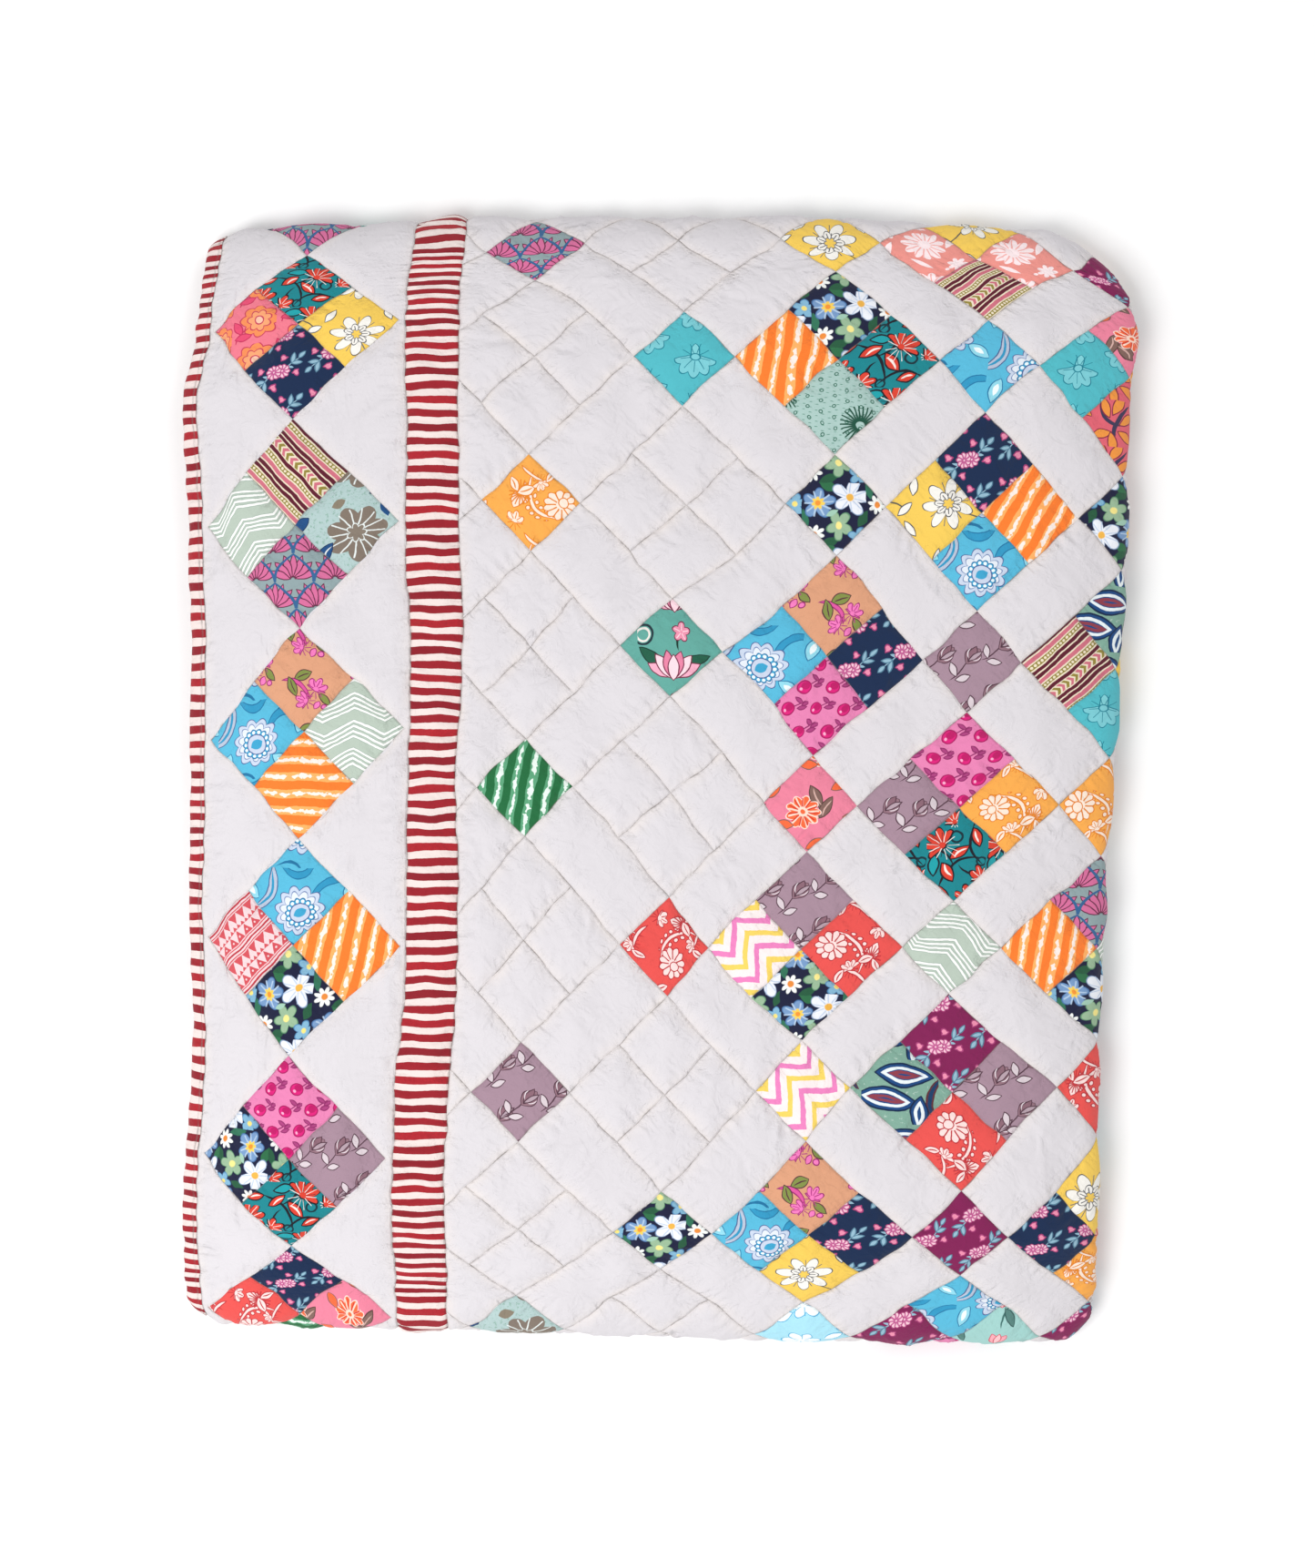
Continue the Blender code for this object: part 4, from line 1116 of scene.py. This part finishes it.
def printedCotton(name, look):
    # cotton printed by hand with small wooden blocks: flat inks with soft edges on a dyed ground
    look = {**printing, **look}
    made, colour, place = clothMaterial("block-printed cotton, " + name, look["ground"], look["stray"])
    tree = made.node_tree
    inks = look.get("inks", {})
    if "speckle" in look:
        speck, scale, share = look["speckle"]
        noise = {"Vector": place, "Scale": scale, "Detail": 4.0, "Roughness": 0.7}
        noise = addNode(tree, "TexNoise", noise)[0]
        cover = [noise, look["speckleContrast"], -look["speckleContrast"] * (1 - share)]
        cover = addNode(tree, "Math", cover, operation="MULTIPLY_ADD", use_clamp=True)[0]
        colour = addNode(tree, "Mix", {0: cover, 6: colour, 7: hexColour(speck)}, data_type="RGBA")[2]
    for cell, drop, spin, shift, shapes in look.get("repeats", ()):
        turned = {"Vector": place, "Location": (*shift, 0), "Rotation": (0, 0, math.radians(spin))}
        turned = addNode(tree, "Mapping", turned)[0]
        x, y = list(addNode(tree, "SeparateXYZ", [turned]))[:2]
        column = addNode(tree, "Math", [x, float(cell[0])], operation="DIVIDE")[0]
        column = addNode(tree, "Math", [column], operation="ROUND")[0]
        x = addNode(tree, "Math", [column, -cell[0], x], operation="MULTIPLY_ADD")[0]
        y = addNode(tree, "Math", [column, drop * cell[1], y], operation="MULTIPLY_ADD")[0]
        y = addNode(tree, "Math", [y, cell[1] / 2, -cell[1] / 2], operation="WRAP")[0]
        inCell = addNode(tree, "CombineXYZ", [x, y])[0]
        for shape, atX, atY, longer, wide, turn, detail, fill, outline in shapes:
            own = {"Vector": inCell, "Location": (atX, atY, 0), "Scale": (longer, wide, 1)}
            own["Rotation"] = (0, 0, math.radians(turn))
            own = addNode(tree, "Mapping", own, vector_type="TEXTURE")[0]
            depth = shapeDepth(tree, own, shape, longer, wide, detail)
            fill, outline = inks.get(fill, fill), inks.get(outline, outline)
            colour = paint(tree, colour, depth, min(longer, wide), fill, outline, look["soft"], look["line"])
    if "bands" in look:
        spin, period, zigzag, slope, rows = look["bands"]
        turned = addNode(tree, "Mapping", {"Vector": place, "Rotation": (0, 0, -math.radians(spin))})[0]
        s, t = list(addNode(tree, "SeparateXYZ", [turned]))[:2]
        if zigzag:
            lean = addNode(tree, "Math", [s, float(zigzag)], operation="PINGPONG")[0]
            t = addNode(tree, "Math", [lean, float(slope), t], operation="MULTIPLY_ADD")[0]
        for band in rows:
            depth = bandDepth(tree, place, s, t, period, band)
            fill = inks.get(band[-1], band[-1])
            colour = paint(tree, colour, depth, 1.0, fill, None, look["soft"], look["line"])
    return finishCloth(made, colour, place, False)


def plainCotton():
    # bleached cotton: no print, and a cool white beside the tinted seams
    return finishCloth(*clothMaterial("plain white cotton", "#d5d1d5", 1.0), True)


# Stripes, in mm: from one to the next, and half of a stripe's width. The reds are printed over the cream.
stripes = {
    "sash": {"period": 13.4, "half": 3.6},
    "binding": {"period": 14.8, "half": 3.7},
    "stray": 1.3,
    "soft": 0.3,
    "ground": "#e7d8d4",
    "red": "#b0232d",
    "darker": "#871a26",
    "blot": "#8e1c27",
    "blotScale": 0.35,
    "blots": (1.2, -0.35),
}


def stripedCotton(strip):
    # hand-printed red stripes, every other one a little darker, with a soft uneven edge
    made, ground, place = clothMaterial("striped cotton, " + strip, stripes["ground"], stripes["stray"])
    tree = made.node_tree
    period, half = stripes[strip]["period"], stripes[strip]["half"]
    along = list(addNode(tree, "SeparateXYZ", [place]))[1]
    stripe = addNode(tree, "Math", [along, period], operation="DIVIDE")[0]
    number = addNode(tree, "Math", [stripe], operation="ROUND")[0]
    off = addNode(tree, "Math", [along, period / 2, -period / 2], operation="WRAP")[0]
    off = addNode(tree, "Math", [off], operation="ABSOLUTE")[0]
    depth = addNode(tree, "Math", [half, off], operation="SUBTRACT")[0]
    # the number of the stripe and a little chance say how dark its red is
    parity = addNode(tree, "Math", [number, 2.0], operation="PINGPONG")[0]
    chance = addNode(tree, "TexWhiteNoise", [number, number], noise_dimensions="1D")[0]
    parity = addNode(tree, "Math", [chance, 0.5, parity], operation="MULTIPLY_ADD")[0]
    parity = addNode(tree, "Math", [parity, 0.5], operation="MULTIPLY", use_clamp=True)[0]
    reds = {0: parity, 6: hexColour(stripes["red"]), 7: hexColour(stripes["darker"])}
    red = addNode(tree, "Mix", reds, data_type="RGBA")[2]
    blot = addNode(tree, "TexNoise", {"Vector": place, "Scale": stripes["blotScale"], "Detail": 4.0})[0]
    blot = addNode(tree, "Math", [blot, *stripes["blots"]], operation="MULTIPLY_ADD", use_clamp=True)[0]
    red = addNode(tree, "Mix", {0: blot, 6: red, 7: hexColour(stripes["blot"])}, data_type="RGBA")[2]
    cover = [depth, 1 / stripes["soft"], 0.5]
    cover = addNode(tree, "Math", cover, operation="MULTIPLY_ADD", use_clamp=True)[0]
    colour = addNode(tree, "Mix", {0: cover, 6: ground, 7: red}, data_type="RGBA")[2]
    return finishCloth(made, colour, place, False)


printNames = list(prints)
slots = [plainCotton()] + [printedCotton(name, prints[name]) for name in printNames]
slots += [stripedCotton("sash"), stripedCotton("binding")]
slotOf = {name: k + 1 for k, name in enumerate(printNames)}
print("stage: cloth materials made", len(slots))
# Which print each patch has, by the same columns and rows.
# column, row, print
singles = [
    (-12, 12, "fan"), (-12, 6, "amber"), (-12, 0, "green"), (-12, -6, "mauve"), (-12, -12, "taupe"),
    (-9, 9, "turquoise"), (-9, 3, "lotus"), (-9, -3, "coral"), (-9, -9, "daisy"),
    (-6, 12, "lily"), (-6, 6, "daisy"), (-6, 0, "pinkLeaf"), (-6, -6, "ikat"), (-6, -12, "pale"),
    (-3, 9, "sky"), (-3, 3, "mauve"), (-3, -3, "chevron"), (-3, -9, "plumSprig"),
    (0, 12, "plumSprig"), (0, 6, "daisy"), (0, 0, "amber"), (0, -6, "coral"), (0, -12, "plumSprig"),
]
# column, row of the middle, upper, left, right, lower
fours = [
    (-6, 9, "daisy", "wave", "teal", "dots"),
    (-6, 3, "salmon", "sky", "navySprig", "fruit"),
    (-6, -3, "mauve", "ikat", "coral", "daisy"),
    (-6, -9, "salmon", "sky", "navySprig", "lily"),
    (-3, 12, "lily", "splash", "splash", "braid"),
    (-3, 6, "navySprig", "lily", "wave", "sky"),
    (-3, 0, "fruit", "mauve", "amber", "teal"),
    (-3, -6, "plumSprig", "sage", "mauve", "coral"),
    (-3, -12, "sky", "plumSprig", "tulip", "fruit"),
    (0, 9, "pinkLeaf", "turquoise", "amber", "branch"),
    (0, 3, "sage", "braid", "lily", "turquoise"),
    (0, -3, "fan", "wave", "chevron", "daisy"),
    (0, -9, "lily", "navySprig", "cells", "amber"),
]
# block of the border, upper, left, right, lower
blocks = [
    (3, "fan", "navySprig", "lotus", "fan"),
    (2, "teal", "cells", "lily", "navySprig"),
    (1, "braid", "chevron", "taupe", "fan"),
    (0, "salmon", "sky", "chevron", "wave"),
    (-1, "sky", "rose", "wave", "daisy"),
    (-2, "fruit", "daisy", "mauve", "teal"),
    (-3, "navySprig", "coral", "pinkLeaf", "green"),
]
# How a print lies where a patch shows: its turn in degrees, and where the middle of its repeat is, in mm.
# A patch is named by its column and row, or by "border", its block and its corner.
lies = {
    (-12, 6): (180, 10, 4), (-12, 0): (0, 0, 0), (-12, -6): (0, -19, 21), (-9, 9): (0, 11, -6),
    (-9, 3): (0, 4, -4), (-9, -3): (90, 13, 3), (-9, -9): (0, -6, -6), (-6, 12): (0, 2, -6),
    (-6, 6): (0, -2, -8), (-6, 0): (-20, -4, -10), (-6, -6): (0, 0, 0), (-7, -3): (0, 6, 4),
    (-3, 9): (0, 40, -4), (-3, 3): (0, -6, -2), (-3, -3): (0, 0, 0), (-3, -9): (10, -24, 8),
    (-6, 10): (0, 4, -6), (-7, 9): (3, 0, 0), (-5, 9): (0, 0, 0), (-6, 8): (0, 0, 0),
    (-6, 4): (0, 8, -8), (-7, 3): (0, -16, -8), (-5, 3): (0, -10, -2), (-6, 2): (110, 0, 0),
    (-6, -2): (0, -10, 4), (-5, -3): (0, 0, -4), (-6, -4): (0, 12, -26), (-6, -8): (0, -6, -6),
    (-7, -9): (0, 8, -8), (-5, -9): (0, -6, 0), (-6, -10): (0, 0, -2), (-3, 11): (0, 0, 0),
    (-3, 7): (0, -2, 12), (-4, 6): (20, 16, 8), (-2, 6): (-20, 0, 0), (-3, 5): (0, 0, -8),
    (-3, 1): (110, 5, 5), (-4, 0): (0, 6, -6), (-2, 0): (0, 3, -8), (-3, -1): (90, 0, 0),
    (-3, -5): (0, 4, 6), (-4, -6): (0, 0, 0), (-2, -6): (0, -8, 8), (-3, -7): (-60, -1, -5),
    (-3, -11): (0, 40, 10), (-1, 9): (0, -8, -4), (-1, 3): (0, 6, 0), (-1, -3): (0, 0, 0),
    (-1, -9): (0, -4, -3), (0, -2): (0, 0, 0), (0, 2): (0, -12, 0), (0, 8): (0, -14, 0), (0, 4): (0, -16, 0),
    ("border", 2, "upper"): (0, 4, 0), ("border", 2, "left"): (0, 4, 4), ("border", 2, "right"): (0, 12, -14),
    ("border", 2, "lower"): (0, 0, 6), ("border", 1, "upper"): (90, 0, 0), ("border", 1, "left"): (60, 0, 0),
    ("border", 1, "right"): (0, 8, -10), ("border", 1, "lower"): (0, 0, 8),
    ("border", 0, "upper"): (0, 4, -10),
    ("border", 0, "left"): (0, 0, -4), ("border", 0, "right"): (30, 0, 0), ("border", 0, "lower"): (96, 0, 0),
    ("border", -1, "upper"): (0, 4, -14), ("border", -1, "left"): (0, 0, 0),
    ("border", -1, "right"): (-4, 0, 0),
    ("border", -1, "lower"): (0, -8, -4), ("border", -2, "upper"): (110, 0, 0),
    ("border", -2, "right"): (0, 0, 6),
    ("border", -2, "lower"): (0, 6, 0), ("border", -3, "upper"): (0, 2, 2), ("border", 3, "lower"): (0, 0, 0),
}
corners = {(1, 1): "upper", (-1, 1): "left", (1, -1): "right", (-1, -1): "lower"}
fieldPrints = {(column, row): name for column, row, name in singles}
for column, row, upper, left, right, lower in fours:
    fieldPrints.update({(column, row + 1): upper, (column, row - 1): lower})
    fieldPrints.update({(column - 1, row): left, (column + 1, row): right})
borderPrints = {}
for block, *names in blocks:
    borderPrints.update({(block, corner): name for corner, name in zip(corners.values(), names)})


plainSteps = {"field": (0.031, 0.017), "border": (0.05, 0.01)}  # how far plain cloth moves on by patch, in m


def printOf(kind, twiceA, twiceB, block, far):
    # the slot, the turn and the middle of a patch's print; patches out of sight take the prints by turns
    if kind == "field":
        column, row = (twiceA - twiceB) // 2, (twiceA + twiceB) // 2
        single = twiceA % 6 == 0 and twiceB % 6 == 0
        # the long patches are plain, and so are the fours by the sash
        if twiceA % 2 or twiceB % 2 or (not single and column <= -8):
            return 0, 0, (twiceA * plainSteps[kind][0], twiceB * plainSteps[kind][1])
        key = (column, row)
        name = fieldPrints.get(key, printNames[(5 * column + 7 * row) % len(printNames)])
    else:
        if abs(twiceA) == 6:
            return 0, 0, (block * plainSteps[kind][0], twiceA * plainSteps[kind][1])
        column, row = block, twiceA
        key = ("border", block, corners[(twiceA, twiceB)])
        name = borderPrints.get(key[1:], "mauve")
        if far:
            name = printNames[(block * 4 + twiceA + 2 * twiceB) % len(printNames)]
    byTurns = ((column * 2 + row) % 4 * 90, (column * 13) % 17 - 8, (row * 11) % 15 - 7)
    turn, x, y = lies.get(key, byTurns)
    return slotOf[name], turn, (x / 1000, y / 1000)


def choosePrints(kind, patch, u):
    if kind == "sash":
        return np.full(len(u), len(slots) - 2), np.zeros(len(u)), np.zeros((len(u), 2))
    far = (u > cloth["width"] / 2) & (kind == "border")
    block = patch.get("block", np.zeros(len(u)))
    keys = np.stack([patch["a"] * 2, patch["b"] * 2, block, far], 1).round().astype(int)
    names, member = np.unique(keys, axis=0, return_inverse=True)
    lie = [printOf(kind, *(int(part) for part in name)) for name in names]
    member = member.ravel()
    slot = np.array([row[0] for row in lie])[member]
    turn = np.radians([row[1] for row in lie])[member]
    return slot, turn, np.array([row[2] for row in lie])[member]


# The front: fine mesh where it shows, and coarse where it is folded out of sight. Steps are cells to half a
# diagonal. The panels lap each other a little, and the front's edge lies under the binding.
laps = {"panels": 0.0002, "binding": 0.0005}
shownRows = (-14 * halfStep, 15 * halfStep)
endRow = cloth["length"] / 2 - cloth["bindingWidth"] + laps["binding"]
topRows, bottomRows, allRows = (shownRows[1], endRow), (-endRow, shownRows[0]), (-endRow, endRow)
foldColumn = cloth["fieldCentre"] + halfStep
nearField = (fieldStart, foldColumn)
farField = (foldColumn, cloth["width"] - fieldStart)
nearBorder = (cloth["bindingWidth"] - laps["binding"], cloth["borderEnd"] + laps["panels"])
farBorder = (cloth["width"] - nearBorder[1], cloth["width"] - nearBorder[0])
nearSash = (cloth["borderEnd"] - laps["panels"], fieldStart + laps["panels"])
farSash = (cloth["width"] - nearSash[1], cloth["width"] - nearSash[0])
front = {
    "field_shown": ("field", nearField, shownRows, 15),
    "field_inside": ("field", farField, allRows, 4),
    "field_tucked_top": ("field", nearField, topRows, 4),
    "field_tucked_bottom": ("field", nearField, bottomRows, 4),
    "border_shown": ("border", nearBorder, shownRows, 14),
    "border_tucked_top": ("border", nearBorder, topRows, 4),
    "border_tucked_bottom": ("border", nearBorder, bottomRows, 4),
    "border_inside": ("border", farBorder, allRows, 4),
    "sash_shown": ("sash", nearSash, shownRows, 16),
    "sash_tucked_top": ("sash", nearSash, topRows, 5),
    "sash_tucked_bottom": ("sash", nearSash, bottomRows, 5),
    "sash_inside": ("sash", farSash, allRows, 5),
}
pieces = {}
for name, (kind, across, along, step) in front.items():
    pieces[name] = makeFront(name, kind, across, along, step)
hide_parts("quilt")
print("stage: front made")

backing = {"step": 0.0125, "sag": 0.0012, "sagReach": 0.02}


def makeBacking():
    # plain white cloth, drawn in a little where the quilting holds it
    width, length = cloth["width"] - 2 * nearBorder[0], 2 * endRow
    columns, rows = round(width / backing["step"]), round(length / backing["step"])
    panel = bmesh.new()
    bmesh.ops.create_grid(panel, x_segments=columns, y_segments=rows, size=0.5)
    mesh = bpy.data.meshes.new("backing")
    panel.to_mesh(mesh)
    panel.free()
    u, v = flatPlaces(mesh)
    u, v = (u + 0.5) * width + nearBorder[0], v * length
    distances = np.clip(seamDistances(fieldPatches(u, v))[:2].min(0), 0, backing["sagReach"])
    w = -folds["seamHalf"] - backing["sag"] * smooth(distances / backing["sagReach"])
    mesh.vertices.foreach_set("co", placed(*wobbled(u, v), w).ravel())
    mesh.flip_normals()
    mesh.materials.append(slots[0])
    corner = np.empty(len(mesh.loops), int)
    mesh.loops.foreach_get("vertex_index", corner)
    # the seam map lays the painted seam shade along the quilting lines of the back
    writeMap(mesh, "seam", v[corner], distances[corner])
    writeMap(mesh, "print", u[corner], v[corner])
    return addPiece("backing", mesh)


pieces["backing"] = makeBacking()

# The binding, folded over the edge. Its profile goes from the front seam round to the back.
# inwards from the edge, off the middle of the cloth, in mm
bindingProfile = np.array([
    (15.3, 5.5), (14.2, 6.5), (12.4, 6.6), (11.6, 6.2), (9.0, 6.9), (6.0, 6.9), (3.2, 6.0), (1.3, 4.2),
    (0.1, 1.6),
    (0.1, -1.6), (1.3, -4.2), (3.2, -5.9), (6.0, -6.6), (9.5, -6.6), (12.6, -6.2), (15.3, -5.4),
])
binding = {
    "fineStep": 0.0035,
    "coarseStep": 0.011,
    "tuckedRows": 50,
    "innerRows": 220,
    "lastStep": 0.004,  # a shorter step than this to a corner is left out
    "stitches": 0.0038,  # the line of stitches, from the front seam
}


def makeBinding():
    # four mitred runs round the quilt; e is the way in from the edge and t the way along it
    halfLength = cloth["length"] / 2
    fine = list(np.arange(shownRows[0], shownRows[1], binding["fineStep"]))
    low = list(np.linspace(-halfLength, shownRows[0], binding["tuckedRows"], endpoint=False))
    high = list(np.linspace(shownRows[1], halfLength, binding["tuckedRows"]))
    inner = np.linspace(-halfLength, halfLength, binding["innerRows"])
    coarse = np.arange(0, cloth["width"], binding["coarseStep"])
    upright, level = (-halfLength, halfLength), (0, cloth["width"])
    sides = [
        (np.array(low + fine + high), lambda e, t: (e, t), upright),
        (coarse, lambda e, t: (t, halfLength - e), level),
        (inner, lambda e, t: (cloth["width"] - e, -t), upright),
        (coarse, lambda e, t: (cloth["width"] - t, e - halfLength), level),
    ]
    inwards, heights = bindingProfile.T / 1000
    fromSeam = np.cumsum(np.r_[0, np.hypot(*np.diff(bindingProfile, axis=0).T)]) / 1000
    wide = len(inwards)
    points, runs, faces, begun, length = [], [], [], 0, 0
    for stations, place, ends in sides:
        stations = np.append(stations[stations < ends[1] - binding["lastStep"]], ends[1])
        stations[0] = ends[0]
        e, t = np.meshgrid(inwards, stations)
        u, v = place(e, np.clip(t, ends[0] + e, ends[1] - e))
        w = np.tile(heights, (len(stations), 1))
        points.append(np.stack([u.ravel(), v.ravel(), w.ravel()], 1))
        runs.append(np.stack([np.tile(fromSeam, len(stations)), (length + t - ends[0]).ravel()], 1))
        for row in range(len(stations) - 1):
            for column in range(wide - 1):
                at = begun + row * wide + column
                faces.append((at, at + 1, at + 1 + wide, at + wide))
        begun += len(stations) * wide
        length += ends[1] - ends[0]
    flat, run = np.concatenate(points), np.concatenate(runs)
    u, v, w = flat.T
    solid = placed(*wobbled(u, v), w * wander("binding", u, v))
    mesh = bpy.data.meshes.new("binding")
    mesh.from_pydata(solid.tolist(), [], faces)
    mesh.materials.append(slots[-1])
    corner = np.empty(len(mesh.loops), int)
    mesh.loops.foreach_get("vertex_index", corner)
    across, along = run[corner].T
    # the seam map lays the painted seam shade along the front seam and along the line of stitches
    writeMap(mesh, "seam", along, np.minimum(across, abs(across - binding["stitches"])))
    writeMap(mesh, "print", across, along)
    return addPiece("binding_strip", mesh), length


pieces["binding_strip"], around = makeBinding()
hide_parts("binding")
print("stage: backing and binding made")
# Camera, straight down on the upper layer. Lengths are in metres and the roll in degrees.
view = {
    "height": 1723,
    "metresPerPixel": 0.000868,
    "topHeight": 0.070,
    "distance": 2.55,
    "roll": 1.27,
    "centre": (0.0061, -0.0078),
}
camera = bpy.data.objects.new("camera", bpy.data.cameras.new("camera"))
bpy.context.scene.collection.objects.link(camera)
camera.location = (*view["centre"], view["topHeight"] + view["distance"])
camera.rotation_euler = (0, 0, math.radians(view["roll"]))
camera.data.sensor_fit = "VERTICAL"
camera.data.sensor_height = 24
seen = view["height"] * view["metresPerPixel"]
camera.data.lens = camera.data.sensor_height * view["distance"] / seen
bpy.context.scene.camera = camera

# The floor, a sheet of matt white paper just under the quilt
paper = {"size": 14, "height": -0.0006, "colour": (0.95, 0.95, 0.95, 1), "roughness": 0.9}
bpy.ops.mesh.primitive_plane_add(size=paper["size"], location=(0, 0, paper["height"]))
floor = bpy.context.object
floor.name = "floor"
floorFinish = bpy.data.materials.new("matt white paper")
floorFinish.use_nodes = True
floorShader = floorFinish.node_tree.nodes["Principled BSDF"]
floorShader.inputs["Base Color"].default_value = paper["colour"]
floorShader.inputs["Roughness"].default_value = paper["roughness"]
floor.data.materials.append(floorFinish)

# Light: a white room, a near softbox from the lower left and a weaker one from the upper right
light = {
    "room": 0.61,
    "lamps": [((-1.4, -1.3, 3.0), 1.8, 80), ((2.0, 2.4, 3.4), 2.4, 30)],  # place, size, power
}
world = bpy.data.worlds.new("studio")
bpy.context.scene.world = world
world.use_nodes = True
world.node_tree.nodes["Background"].inputs["Color"].default_value = (1, 1, 1, 1)
world.node_tree.nodes["Background"].inputs["Strength"].default_value = light["room"]
for place, size, power in light["lamps"]:
    lamp = bpy.data.objects.new("softbox", bpy.data.lights.new("softbox", "AREA"))
    bpy.context.scene.collection.objects.link(lamp)
    lamp.data.size = size
    lamp.data.energy = power
    lamp.location = place
    tilt = math.atan2(math.hypot(place[0], place[1]), place[2])
    lamp.rotation_euler = (tilt, 0, math.atan2(place[1], place[0]) + math.pi / 2)
bpy.context.scene.view_settings.view_transform = "Standard"
